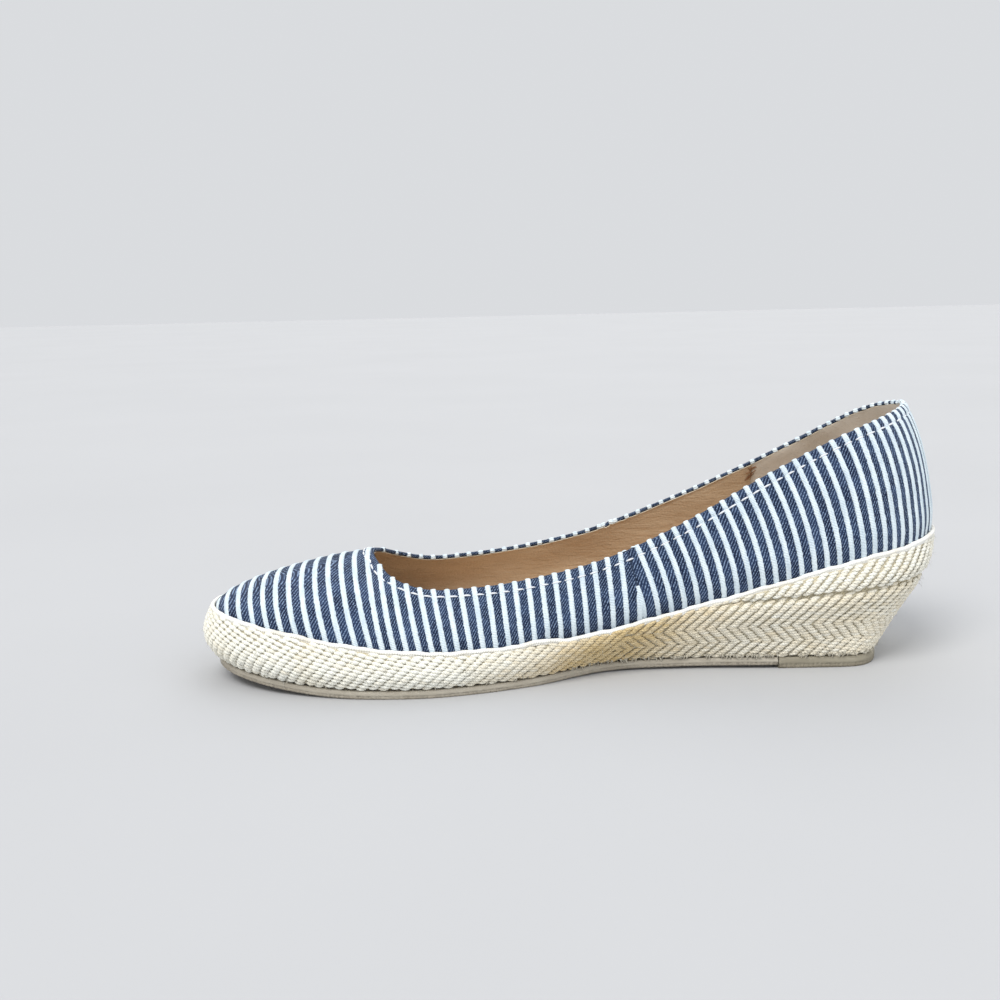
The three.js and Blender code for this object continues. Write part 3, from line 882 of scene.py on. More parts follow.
def collar_loop(shares):
    """Points, outward and upward directions along the topline: medial side, throat, lateral side."""
    shares = shares[shares <= THROAT]
    medial, medial_out = denim_face(shares, MEDIAL, np.ones_like(shares))
    lateral, lateral_out = denim_face(shares, LATERAL, np.ones_like(shares))
    points = np.concatenate([medial, lateral[-2:0:-1]])
    out = np.concatenate([medial_out, lateral_out[-2:0:-1]])
    along = unit(np.roll(points, -1, axis=0) - np.roll(points, 1, axis=0))
    out = unit(out - along * np.sum(out * along, axis=1, keepdims=True))
    up = unit(np.cross(along, out))
    return points, out, up


EDGE_RADIUS = 0.62
EDGE_TURNS = np.linspace(0, np.pi, 9)
TURN_IN = 0.2  # the denim shows this far down inside the folded edge


def folded_edge():
    """Rows round the folded edge, from the outer face over the top and down inside."""
    points, out, up = collar_loop(UPPER_SHARES)
    rows = []
    for turn in EDGE_TURNS:
        ring = np.cos(turn) * out + np.sin(turn) * up
        rows.append(points - EDGE_RADIUS * out + EDGE_RADIUS * ring)
    inner = points - 2 * EDGE_RADIUS * out
    rows.append(inner - 0.5 * TURN_IN * up)
    rows.append(inner - TURN_IN * up)
    length = np.cumsum(np.linalg.norm(np.roll(points, -1, axis=0) - points, axis=1))
    coordinates = stacked(length[None], 60 + 0.5 * np.arange(len(rows))[:, None])
    return surface(np.array(rows), coordinates, closed=True, flip=True)


piece(
    "upper_denim",
    join([upper_side(MEDIAL), upper_side(LATERAL), folded_edge()]),
    DENIM, nodes=["upper"], weld=0.002,
)

# ---- The raised white stripes ----

# A stripe's section: how far across, in half widths, and how high, as a part of its rise.
STRIPE_SECTION = (
    (-1.12, -0.10), (-0.95, 0.62), (-0.45, 0.95), (0.0, 1.0), (0.45, 0.95), (0.95, 0.62), (1.12, -0.10),
)
STRIPE_ROWS = 84
TOE_BARE = 2.6  # bare denim between the toe's end and the first stripe
QUARTER_LENGTH = 165  # more than the quarter's length along the cloth
STRIPE_RAGGED = 0.07  # how much a stripe's edges wander, as a part of its half width
SEAM_MARGIN = 0.2  # the stripes stop this far from the side seam


def share_at(cloth, value, side, up, low, high):
    """The share at which the cloth coordinate takes a value, at each height up the wall."""
    ends = np.full_like(up, low), np.full_like(up, high)
    low, high = halved(lambda share: cloth(share, side, up) < value, *ends, 34)
    return (low + high) / 2


def highest_up(cloth, value, side):
    """How far up the toe's centre line a stripe meets its other half, or 1 behind the fan."""
    end = np.array([1.0])
    if cloth(end, side, end)[0] >= value:
        return 1.0
    low, _ = halved(lambda up: cloth(end, side, up) >= value, np.array([0.0]), end, 50)
    return float(low[0])


def stripe(cloth, value, side, on_vamp):
    """One side of a stripe as a ribbon from the feather line to the ridge or over the folded edge."""
    top = highest_up(cloth, value, side) if on_vamp else 1.0
    up = top * np.sin(np.pi / 2 * np.linspace(0, 1, STRIPE_ROWS)) ** 1.1
    centre = share_at(cloth, value, side, up, 0.40 if on_vamp else 0.0, 1.0 if on_vamp else 0.62)
    x, _, _ = skin(centre, side, up)
    from_seam = x - seam_station(up)
    keep = from_seam > SEAM_MARGIN if on_vamp else from_seam < -SEAM_MARGIN
    if keep.sum() < 3:
        return None
    ragged = 1 + STRIPE_RAGGED * RNG.standard_normal((2, STRIPE_ROWS))
    middle, normal = denim_face(centre, side, up)
    along = unit(np.gradient(middle, axis=0))
    across = unit(np.cross(normal, along))
    reaches_edge = top == 1.0 and centre[-1] < THROAT - 1e-4
    if reaches_edge:
        ring, ring_across = over_the_edge(middle[-1], normal[-1], along[-1])
        middle = np.concatenate([middle, ring[0]])
        normal = np.concatenate([normal, ring[1]])
        across = np.concatenate([across, np.broadcast_to(ring_across, ring[0].shape)])
        keep = np.concatenate([keep, np.full(len(ring[0]), True)])
        more = 1 + STRIPE_RAGGED * RNG.standard_normal((2, len(ring[0])))
        ragged = np.concatenate([ragged, more], axis=1)
    columns = []
    for offset, rise in STRIPE_SECTION:
        edge = ragged[0 if offset < 0 else 1]
        sideways = offset * STRIPE_HALF * edge
        columns.append(middle + across * sideways[:, None] + normal * (STRIPE_RISE * rise))
    points = np.stack(columns, axis=1)
    rows = len(middle)
    quads = grid_quads(rows, len(columns))
    starts = np.repeat(np.arange(rows - 1), len(columns) - 1)
    quads = quads[(keep[:-1] & keep[1:])[starts]]
    offsets = np.array([offset for offset, _ in STRIPE_SECTION]) * STRIPE_HALF
    coordinates = stacked(side * (offsets + value), lengths_along(middle)[:, None])
    tone = np.ones(rows)
    tone[:STRIPE_ROWS] = shade_of(centre, side, up)
    return points, quads, coordinates, tone[:, None]


def over_the_edge(point, normal, along):
    """Points and normals that carry a stripe over the folded edge and down inside."""
    up = unit(along - normal * np.dot(along, normal))
    turns = EDGE_TURNS[1:]
    normals = np.cos(turns)[:, None] * normal + np.sin(turns)[:, None] * up
    points = point - EDGE_RADIUS * normal + EDGE_RADIUS * normals
    inside = points[-1] - up * TURN_IN
    across = unit(np.cross(normal, up))
    return (np.vstack([points, inside]), np.vstack([normals, normals[-1:]])), across


def all_stripes():
    """The vamp's stripes from the toe back, and the quarter's from the middle of the heel forward."""
    parts = []
    for side in SIDES:
        value = float(RIDGE_LENGTH[-1]) - TOE_BARE
        while value > SEAM_BOTTOM - 6:
            parts.append(stripe(vamp_cloth, value, side, True))
            value -= STRIPE_PITCH
        value = 0.5 * STRIPE_PITCH
        while value < QUARTER_LENGTH:
            parts.append(stripe(quarter_cloth, value, side, False))
            value += STRIPE_PITCH
    return join([part for part in parts if part is not None])


piece("upper_stripes", all_stripes(), STRIPE)

# ---- Topline stitches ----


def inset_line(inset):
    """A line on the denim's face at a distance inside the folded edge, from heel round to heel."""
    shares = merged(spread(240), np.linspace(THROAT - 0.05, THROAT + 0.03, 120))
    ups = np.linspace(0, 1, 110)
    edge, _, _ = collar_loop(UPPER_SHARES)
    line = []
    for side in SIDES:
        found = []
        for share in shares[shares < THROAT + 0.03]:
            points, normals = denim_face(np.full_like(ups, share), side, ups)
            near = edge[np.linalg.norm(edge - points[-1], axis=1) < inset + 6]
            if len(near) == 0:
                continue
            far = np.linalg.norm(points[:, None] - near[None], axis=2).min(axis=1)
            if far[-1] > inset:
                break
            k = int(np.nonzero(far <= inset)[0][0])
            if k == 0:
                continue
            t = (far[k - 1] - inset) / (far[k - 1] - far[k])
            normal = unit(mix(normals[k - 1], normals[k], t))
            found.append(np.concatenate([mix(points[k - 1], points[k], t), normal]))
        line.append(np.array(found))
    return np.concatenate([line[0], line[1][::-1]])


def along_line(line, places):
    """A line's values at lengths along it. Its first three columns are its points."""
    length = lengths_along(line[:, :3])
    return np.stack([np.interp(places, length, values) for values in line.T], -1)


def topline_stitches():
    """A line of long stitches, each bent up out of the denim and sunk at its ends."""
    line = inset_line(STITCH_INSET)
    parts = []
    for k in range(int(lengths_along(line[:, :3])[-1] / STITCH_PITCH)):
        start = (k + 0.2) * STITCH_PITCH + RNG.uniform(-0.2, 0.2)
        reach = STITCH_LENGTH * RNG.uniform(0.88, 1.08)
        share = np.linspace(0, 1, 9)
        found = along_line(line, start + reach * share)
        lift = 0.42 * np.sin(np.pi * share) ** 0.6 + 0.02
        path = found[:, :3] + found[:, 3:] * (lift - 0.22)[:, None]
        thick = STITCH_RADIUS * np.maximum(np.sin(np.pi * np.clip(share, 0.04, 0.96)), 0.1) ** 0.35
        parts.append(tube(path, thick, 6, up=found[4, 3:]))
    return join(parts)


piece("topline_stitches", topline_stitches(), THREAD)

# ---- Lining ----


def lining_grid(shares, side, depth, drop):
    """Points of the lining, inside the denim by depth, from the insole up to drop below the edge."""
    share, up = np.meshgrid(shares, np.linspace(0, 1, 34))
    face, normal = denim_face(share, side, up)
    smooth = framed(*skin(share, side, up)) - normal * depth
    points = mix(smooth, face - normal * depth, LINING_FOLLOWS)
    floor_row = points[:1] - np.array([0, 0, LINING_SINK])
    height = np.linalg.norm(points[-1] - points[0], axis=1)
    # The top row comes down below the folded edge wherever the shoe is open.
    open_here = (shares < THROAT)[:, None]
    down = unit(points[-2] - points[-1]) * np.minimum(drop, 0.5 * height)[:, None]
    points[-1] = points[-1] + np.where(open_here, down, 0)
    points = np.concatenate([floor_row, points])
    wave = LINING_WAVE * np.sin(points[..., 0] * 0.21) * np.sin(points[..., 2] * 0.33 + 1.3)
    points[1:-1] -= (normal * wave[1:, :, None])[:-1]
    return points


def lining():
    """The tan lining of both sides, from the insole to just below the folded edge."""
    parts = []
    for side in SIDES:
        points = lining_grid(UPPER_SHARES, side, LINING_DEPTH, LINING_DROP)
        parts.append(surface(points, points[..., [0, 2]], flip=side == LATERAL))
    return join(parts)


def heel_lining():
    """A suede lining round the heel, gathered a little where its front edges are turned under."""
    shares = merged(spread(300), np.linspace(0, 0.02, 20))
    front = HEEL_LINING_FRONT / FEATHER_LENGTH
    shares = np.append(shares[shares < front], front)
    parts = []
    for side in SIDES:
        points = lining_grid(shares, side, LINING_DEPTH + 0.3, LINING_DROP - 0.1)
        coordinates = points[..., [0, 2]]
        station = np.broadcast_to(shares * FEATHER_LENGTH, coordinates.shape[:-1])
        edge = np.clip((HEEL_LINING_FRONT - station) / 1.6, 0, 1)
        up = np.linspace(0, 1, len(points))[:, None]
        inward = np.array([0.0, -side, 0.0])
        pucker = 0.35 * np.sin(np.pi * edge) * (0.6 + 0.4 * np.sin(up * 60)) - 0.3 * (edge == 0)
        points = points + pucker[..., None] * inward
        parts.append(surface(points, coordinates, 0.35 + 0.65 * edge, flip=side == LATERAL))
    return join(parts)


def cream_edge():
    """The raw edge of the lining, a thin wavy line just under the folded edge."""
    points, out, up = collar_loop(UPPER_SHARES)
    sway = 0.12 * np.sin(np.arange(len(points)) * 0.35)[:, None]
    path = points - out * LINING_DEPTH - up * (LINING_DROP + sway)
    return join([tube(path, 0.17, 6, closed=True)])


piece("lining", lining(), LINING)
piece("heel_lining", heel_lining(), SUEDE)
piece("lining_edge", cream_edge(), EDGE)


TACKS = 13  # small stitches in each bar tack
TACK_RADIUS = 0.20
TACK_POINTS = 6
TACK_WALL = 30.0  # the wall's height where the bar tacks are


def bar_tacks():
    """A tight cluster of small brown stitches where the two linings meet, just below the edge."""
    spot = np.linspace(-1, 1, TACK_POINTS)
    parts = []
    for side in SIDES:
        for _ in range(TACKS):
            station = HEEL_LINING_FRONT + RNG.uniform(-1.2, 1.8)
            down = RNG.uniform(1.6, 6.0)
            up = 1 - (down + 0.5 * spot * RNG.uniform(-1, 1)) / TACK_WALL
            face, normal = denim_face((station + 0.9 * spot) / FEATHER_LENGTH, side, up)
            arch = 0.28 * np.sin(np.pi * np.linspace(0.05, 0.95, TACK_POINTS))
            path = face - normal * (LINING_DEPTH + 0.30 + arch)[:, None]
            parts.append(tube(path, TACK_RADIUS, 5))
    return join(parts)


piece("bar_tacks", bar_tacks(), BROWN_THREAD)

# ---- Insole ----

INSOLE_POINTS = 150
SOCK_FAN = 20  # the cover's rows run together this far from its ends


def sock():
    """The insole's tan cover: slightly hollow under the heel and ball, with a soft rolled edge."""
    shares = spread(INSOLE_POINTS)
    rows = []
    ring = np.concatenate([-np.linspace(1, 0, 22) ** 0.9, np.linspace(0, 1, 22)[1:] ** 0.9])
    for k in ring:
        side = MEDIAL if k < 0 else LATERAL
        edge_x, edge_y = outline_point(FEATHER, shares, side, -GAP)
        x = mix(np.clip(edge_x, SOCK_FAN, FEATHER_LENGTH - SOCK_FAN), edge_x, abs(k))
        y = mix(section("centre", x), edge_y, abs(k))
        bowl = (-0.5 * hump((x - 34) / 26) - 0.3 * hump((x - 178) / 22)) * (1 - k * k)
        rolled = -0.9 * np.clip((abs(k) - 0.9) / 0.1, 0, 1) ** 2
        rows.append(framed(x, y, seat_height(edge_x) + INSOLE_TOP + bowl + rolled))
    points = np.array(rows)
    return surface(points, points[..., :2], flip=True)


def insole_base():
    """The insole's edge under its cover."""
    shares = spread(INSOLE_POINTS)
    rows = []
    levels = ((-GAP - 0.4, 0.3 - TRAY_DEPTH), (-GAP, 0.6 - TRAY_DEPTH), (-GAP, INSOLE_TOP - 0.9))
    for grow, height in levels:
        medial = outline_point(FEATHER, shares, MEDIAL, grow)
        lateral = outline_point(FEATHER, shares[1:-1], LATERAL, grow)
        x = np.concatenate([medial[0], lateral[0][::-1]])
        y = np.concatenate([medial[1], lateral[1][::-1]])
        rows.append(framed(x, y, seat_height(x) + height))
    points = np.array(rows)
    return surface(points, points[..., [0, 2]], 0.6, closed=True, flip=True)


SOCK_STITCH_INSET = 5.0  # from the insole's edge
SOCK_STITCH_LENGTH = 2.3
SOCK_STITCH_PITCH = 3.4


def sock_stitches():
    """A row of small tan stitches set in from the insole's edge."""
    shares = spread(400)
    medial = outline_point(FEATHER, shares, MEDIAL, -SOCK_STITCH_INSET)
    lateral = outline_point(FEATHER, shares[::-1], LATERAL, -SOCK_STITCH_INSET)
    x, y = np.concatenate([medial, lateral], axis=1)
    line = framed(x, y, seat_height(x) + INSOLE_TOP + 0.02)
    parts = []
    for start in np.arange(0, lengths_along(line)[-1] - 3, SOCK_STITCH_PITCH):
        share = np.linspace(0, 1, 6)
        path = along_line(line, start + SOCK_STITCH_LENGTH * share)
        path[:, 2] += 0.22 * np.sin(np.pi * share) - 0.1
        parts.append(tube(path, 0.2, 5))
    return join(parts)


piece("insole_sock", join([sock(), insole_base()]), SOCK, nodes=["insole"])
piece("sock_stitches", sock_stitches(), BROWN_THREAD)

# ---- Piping ----

PIPING_OUT = 0.62  # from the upper's face to the middle of the cord
PIPING_RADIUS = 0.76
TAPE_RADIUS = 0.62


def piping_path(lift, out_by=0.0):
    """A line round the feather line, raised and moved outward, with small waves and one kink."""
    shares = spread(520)
    rows = []
    for side in SIDES:
        swell = PIPING_SWELL * section("swell", shares * FEATHER_LENGTH)
        x, y = outline_point(FEATHER, shares, side, WALL + GAP + PIPING_OUT + swell + out_by)
        z = seat_height(x) + 1.0 + lift
        wave = 0.16 * np.sin(x * 0.33 + side) + 0.1 * np.sin(x * 0.83 + 2.0 * side)
        wave = wave + 0.65 * hump((x - 137) / 5.0) - 0.4 * hump((x - 126) / 5.0)
        away_from_ends = np.clip((x - 4) / 10, 0, 1) * np.clip((238 - x) / 10, 0, 1)
        rows.append(framed(x, y, z + wave * away_from_ends))
    return np.concatenate([rows[0], rows[1][-2:0:-1]])


def piping():
    """A folded cotton cord, and the flat tape it is folded from going down behind the jute's rim."""
    path = piping_path(lift=-0.15)
    twist = 0.05 * np.sin(np.arange(len(path)) * 0.9)
    swelling = 1 + twist + 0.04 * RNG.standard_normal(len(path))
    cord = tube(path, PIPING_RADIUS * swelling, 9, closed=True)
    tape = tube(piping_path(lift=-0.9, out_by=-0.1), TAPE_RADIUS, 6, closed=True)
    return join([cord, tape])


piece("piping_cord", piping(), PIPING, nodes=["piping"])

# ---- The jute ----

CREASE_DEPTH = 1.1
CREASE_WIDTH = 1.0
SIDE_STEP = 4e-4  # a share, and a part of the side's height, over which a slope is taken
LEVEL_STEP = 0.02


def jute_side(share, side, level):
    """The jute's side from the tread (level 0) to the rim at the feather line (level 1)."""
    share, level = np.broadcast_arrays(np.asarray(share, float), np.asarray(level, float))
    foot_x, foot_y = outline_point(TREAD, share, side)
    rim_grow = WALL + GAP + section("rim", share * FEATHER_LENGTH)
    rim_x, rim_y = outline_point(FEATHER, share, side, rim_grow)
    base = outsole_top(foot_x) + GAP
    bend = np.log(0.5) / np.log(section("peak", rim_x))
    roll = section("roll", rim_x) * np.sin(np.pi * np.clip(level, 0, 1) ** bend)
    centre_x, centre_y = spine(share)
    across = np.hypot(rim_x - centre_x, rim_y - centre_y)
    out_x, out_y = (rim_x - centre_x) / across, (rim_y - centre_y) / across
    x = mix(foot_x, rim_x, level) + roll * out_x
    y = mix(foot_y, rim_y, level) + roll * out_y
    z = mix(base, seat_height(rim_x), level)
    # The crease is pressed in, and the padded wrap above it swells out again.
    behind = np.clip((WRAP_FRONT + 4 - x) / 22, 0, 1)
    over = z - crease_height(x)
    swells = 0.35 * hump((over - 4.5) / 3.2) + 0.2 * hump((over + 4.0) / 3.0)
    tucks = 0.35 * hump(level / 0.07) + 0.25 * hump((1 - level) / 0.09)
    out = behind * (swells - CREASE_DEPTH * hump(over / CREASE_WIDTH)) - tucks
    return framed(x + out * out_x, y + out * out_y, z)


def jute_normal(share, side, level):
    ahead = jute_side(np.minimum(share + SIDE_STEP, 1), side, level)
    behind = jute_side(np.maximum(share - SIDE_STEP, 0), side, level)
    above = jute_side(share, side, np.minimum(level + LEVEL_STEP, 1))
    below = jute_side(share, side, np.maximum(level - LEVEL_STEP, 0))
    return side * unit(np.cross(unit(ahead - behind), unit(above - below)))


def ledge(points, shares):
    """The last row of points moved in under the upper, to close the jute's top."""
    centre_x, centre_y = spine(shares)
    inward = unit((framed(centre_x, centre_y, 0.0) - points[-1]) * FLAT)
    return np.concatenate([points, points[-1:] + inward * LEDGE_WIDTH])


def foot_level(shares, side):
    return np.zeros_like(shares)


def rim_level(shares, side):
    return np.ones_like(shares)


def backing(shares, low_level, high_level, inset):
    """The cloth behind the braid, between two levels that may change along the shoe."""
    parts = []
    for side in SIDES:
        low, high = low_level(shares, side), high_level(shares, side)
        level = mix(low, high, np.linspace(0, 1, BACKING_ROWS)[:, None])
        share = np.broadcast_to(shares, level.shape)
        points = jute_side(share, side, level) - inset * jute_normal(share, side, level)
        points = ledge(points, shares)
        coordinates = points[..., [0, 2]] + points[..., [1, 1]] * 0.3
        # Tone 0.5 darkens the backing further: painted shade between the bundles.
        parts.append(surface(points, coordinates, 0.5, flip=side == MEDIAL))
    return join(parts)


def crease_level(shares, side):
    """Level on the jute's side at which the crease runs; above 1 where there is no wrap."""
    levels = np.linspace(0, 1, 60)
    grid = jute_side(shares[:, None], side, levels[None])
    station = HEEL_X - grid[..., 0]
    over = np.where(station < WRAP_FRONT + 1, grid[..., 2] - crease_height(station), -1.0)
    found = np.ones(len(shares))
    for k in range(len(shares)):
        above = np.nonzero(over[k] > 0)[0]
        if len(above):
            found[k] = levels[above[0]]
    return found


WRAP_END = (WRAP_FRONT + 2) / FEATHER_LENGTH
WRAP_SHARES = spread(260)
WRAP_SHARES = np.append(WRAP_SHARES[WRAP_SHARES * FEATHER_LENGTH < WRAP_FRONT + 2], WRAP_END)

piece(
    "platform_backing", backing(spread(220), foot_level, crease_level, 0.5),
    JUTE_SHADE, nodes=["platform"],
)
piece(
    "wrap_backing", backing(WRAP_SHARES, crease_level, rim_level, 0.45),
    JUTE_SHADE, nodes=["heel_wrap"],
)


class Round:
    """Lengths round the jute at mid height: from the toe back on the medial side, then forward."""

    def __init__(self):
        self.shares = merged(spread(900), np.linspace(0.98, 1, 60), np.linspace(0, 0.02, 60))
        self.lengths = {side: lengths_along(jute_side(self.shares, side, 0.5)) for side in SIDES}
        self.medial = self.lengths[MEDIAL][-1]
        self.total = self.medial + self.lengths[LATERAL][-1]

    def locate(self, place):
        """Share and side at a length round the shoe."""
        place = np.mod(place, self.total)
        on_medial = place < self.medial
        medial_share = np.interp(self.medial - place, self.lengths[MEDIAL], self.shares)
        lateral_share = np.interp(place - self.medial, self.lengths[LATERAL], self.shares)
        return np.where(on_medial, medial_share, lateral_share), np.where(on_medial, MEDIAL, LATERAL)


ROUND = Round()


def both_sides(function, share, side, level):
    """A vector function of one side, evaluated for places on either."""
    medial = function(share, MEDIAL, level)
    lateral = function(share, LATERAL, level)
    return np.where((side == MEDIAL)[..., None], medial, lateral)


def side_heights(side):
    """Height of the jute's side from the outsole to the rim, over the surface."""
    grid = jute_side(TABLE_SHARES[:, None], side, np.linspace(0, 1, 40)[None])
    return np.linalg.norm(np.diff(grid, axis=1), axis=2).sum(axis=1)


TABLE_SHARES = spread(300)
SIDE_HEIGHTS = {side: side_heights(side) for side in SIDES}
CREASE_LEVELS = {side: crease_level(TABLE_SHARES, side) for side in SIDES}


def from_tables(tables, share, side):
    """A value kept along both sides, at places on either."""
    medial = np.interp(share, TABLE_SHARES, tables[MEDIAL])
    lateral = np.interp(share, TABLE_SHARES, tables[LATERAL])
    return np.where(side == MEDIAL, medial, lateral)


def lean_of_side(share, side):
    """How far the rim stands behind the tread at the same share, as a length round the shoe."""
    station = share * FEATHER_LENGTH
    back = TREAD_HEEL - (FEATHER_LENGTH - TREAD_TOE + TREAD_HEEL) * share
    turned = np.clip(station / FEATHER["heel_round"][0], 0, 1)
    return -side * back * np.sqrt(1 - (1 - turned) ** 2)


def lean_over(zones, height):
    """How far a braid column has leaned over at a height, and how its bundles slope there."""
    shift, slope, below = np.zeros_like(height), np.zeros_like(height), 0.0
    for row in zones:
        zone = dict(zip(ZONE_COLUMNS, row))
        shift = shift + zone["lean"] * np.clip(height - below, 0, zone["top"] - below)
        slope = np.where(height >= below, zone["slope"], slope)
        below = zone["top"]
    return shift, slope


TOE_TONE = 0.98
WRAP_TONE = 0.92
WEDGE_TONE = 0.72
WAIST = 108
WAIST_SHADE = 0.75


def paleness(station, on_wrap):
    """The yarn is palest at the toe, duller on the wedge and brown in the shadow of the waist."""
    ahead = np.clip((station - 120) / 50, 0, 1)
    behind = np.where(on_wrap & (station < WRAP_FRONT), WRAP_TONE, WEDGE_TONE)
    return mix(behind, TOE_TONE, ahead) - WAIST_SHADE * hump((station - WAIST) / 25)


# A bundle of yarn: its length as a part of the columns' pitch, and the rest as parts of a row's height.
BUNDLE_LENGTH = 0.98
BUNDLE_WIDTH = 1.14
BUNDLE_HEIGHT = 0.95
BUNDLE_DIP = 0.24
FIRST_ROW = 0.45  # the lowest row is this many rows above the outsole
TOP_ROW = 0.3  # the wrap's highest row is this many rows below the rim


def braid(kind, zones, pitch):
    """The bundles of one band: rows of short arches, in columns that lean over zone by zone."""
    columns = 2 * int(round(ROUND.total / pitch / 2))
    pitch = ROUND.total / columns
    row, column = np.meshgrid(np.arange(MOST_ROWS), np.arange(columns), indexing="ij")
    row, seat = (row + 0.5 * (column % 2)).ravel(), column.ravel() * pitch
    share, side = ROUND.locate(seat)
    step = jute_row("row", share * FEATHER_LENGTH)
    full = from_tables(SIDE_HEIGHTS, share, side)
    from_foot = full - (row + TOP_ROW) * step if kind == "wrap" else (row + FIRST_ROW) * step
    shift, slope = lean_over(zones, from_foot)
    share, side = ROUND.locate(seat + shift - lean_of_side(share, side) * (from_foot / full - 0.5))
    station = share * FEATHER_LENGTH
    step = jute_row("row", station)
    full = from_tables(SIDE_HEIGHTS, share, side)
    crease = from_tables(CREASE_LEVELS, share, side)
    if kind == "wrap":
        height = full - (row + TOP_ROW) * step
        keep = (height > crease * full + 0.25 * step) & (station < WRAP_FRONT - 1)
    else:
        height = (row + FIRST_ROW) * step
        keep = height < np.where(crease < 0.995, crease * full - 0.3 * step, full + 0.45 * step)
        keep &= (station < BRAID_CHANGE) == (kind == "wedge")
    level = np.minimum(height / full, 1.0)
    share, side, level, step, slope, crease = (v[keep] for v in (share, side, level, step, slope, crease))
    station = share * FEATHER_LENGTH
    place = both_sides(jute_side, share, side, level)
    normal = both_sides(jute_normal, share, side, level)
    nearer_toe = both_sides(jute_side, np.minimum(share + 0.002, 1), side, level)
    nearer_heel = both_sides(jute_side, np.maximum(share - 0.002, 0), side, level)
    ahead = unit((nearer_toe - nearer_heel) * side[:, None])
    rise = unit(np.cross(normal, ahead))
    count = len(place)
    slope = np.radians(slope + RNG.normal(0, 3.5, count))[:, None]
    along = np.cos(slope) * ahead + np.sin(slope) * rise
    length = pitch * BUNDLE_LENGTH * RNG.uniform(0.94, 1.06, count)
    width = step * BUNDLE_WIDTH * RNG.uniform(0.92, 1.1, count)
    sink = RNG.normal(-0.10, 0.05, count)
    tone = paleness(station, level > crease) + 0.07 * RNG.standard_normal(count)
    place = place + normal * sink[:, None] + ahead * RNG.normal(0, 0.12, count)[:, None]
    height, dip = BUNDLE_HEIGHT * step, BUNDLE_DIP * step
    return grains(place, along, normal, length, width, height, dip, np.clip(tone, 0.02, 1))


piece("braid_forefoot", braid("forefoot", FOREFOOT_ZONES, PLATFORM_PITCH), JUTE)
piece("braid_wedge", braid("wedge", WEDGE_ZONES, PLATFORM_PITCH), JUTE)
piece("braid_wrap", braid("wrap", WRAP_ZONES, WRAP_PITCH), JUTE)


HAIRS = 760
HAIR_RADIUS = 0.055
FRAYED_ENDS = 330
FRAY_FRONT = 128  # most frayed ends, and the longest, are behind this station


def hairs():
    """Loose hairs all over the jute."""
    parts = []
    for _ in range(HAIRS):
        share, side = ROUND.locate(np.array([RNG.uniform(0, ROUND.total)]))
        level = np.array([RNG.uniform(0.02, 0.98)])
        share, side = share[0], int(side[0])
        start = jute_side(share, side, level)[0]
        normal = jute_normal(share, side, level)[0]
        lie = unit(RNG.normal(0, 1, 3) + normal * 0.5)
        reach = RNG.uniform(1.0, 3.0)
        t = np.linspace(0, 1, 5)[:, None]
        curl = RNG.normal(0, 0.5, 3) * (t * (1 - t)) * reach
        path = start + normal * 0.25 + lie * reach * t + curl - np.array([0, 0, 0.35]) * t * t
        parts.append(tube(path, HAIR_RADIUS * (1.15 - t[:, 0]), 3, up=(0.3, 0.4, 0.8), tone=0.9))
    return parts


def frayed_ends():
    """Short ends of yarn that hang from the platform over the outsole's edge."""
    parts = []
    for _ in range(FRAYED_ENDS):
        behind = RNG.random() < 0.85
        station = RNG.uniform(TREAD_HEEL + 1, FRAY_FRONT) if behind else RNG.uniform(FRAY_FRONT, 240)
        share = (station - TREAD_HEEL) / (TREAD_TOE - TREAD_HEEL)
        side = MEDIAL if RNG.random() < 0.5 else LATERAL
        start = jute_side(share, side, np.array([0.02]))[0]
        normal = jute_normal(share, side, np.array([0.1]))[0] * np.array([1, 1, 0])
        t = np.linspace(0, 1, 5)[:, None]
        reach = RNG.uniform(0.7, 1.7) if station < FRAY_FRONT else RNG.uniform(0.4, 0.9)
        lie = np.array([RNG.normal(0, 0.4), 0, -1.0])
        path = start + normal * (0.75 + 0.25 * np.sin(np.pi * t)) + lie * reach * t + np.array([0, 0, 0.6])
        thick = RNG.uniform(0.13, 0.3) * (1.1 - 0.5 * t[:, 0])
        parts.append(tube(path, thick, 5, up=(1, 0, 0.1), tone=0.7))
    return parts


piece("jute_fibres", join(hairs() + frayed_ends()), JUTE)

# ---- Outsole and heel top piece ----


# A slab's edge from the top down: how far out, and at what part of its thickness.
EDGE_PROFILE = (
    (-3.0, 1.0), (-0.25, 1.0), (0.02, 0.93), (0.20, 0.6), (0.18, 0.42), (-0.05, 0.36), (0.12, 0.28),
    (0.05, 0.12), (-0.25, 0.0),
)
LIP_TOP = 0.4  # the rough lip is below this part of the thickness
RIB_PITCH = 3.2
RIB_DEPTH = 0.22  # half the depth of the grooves between the ribs
BARE_RIM = 0.25  # how much of the underside's edge has no ribs, as the sine of its place across


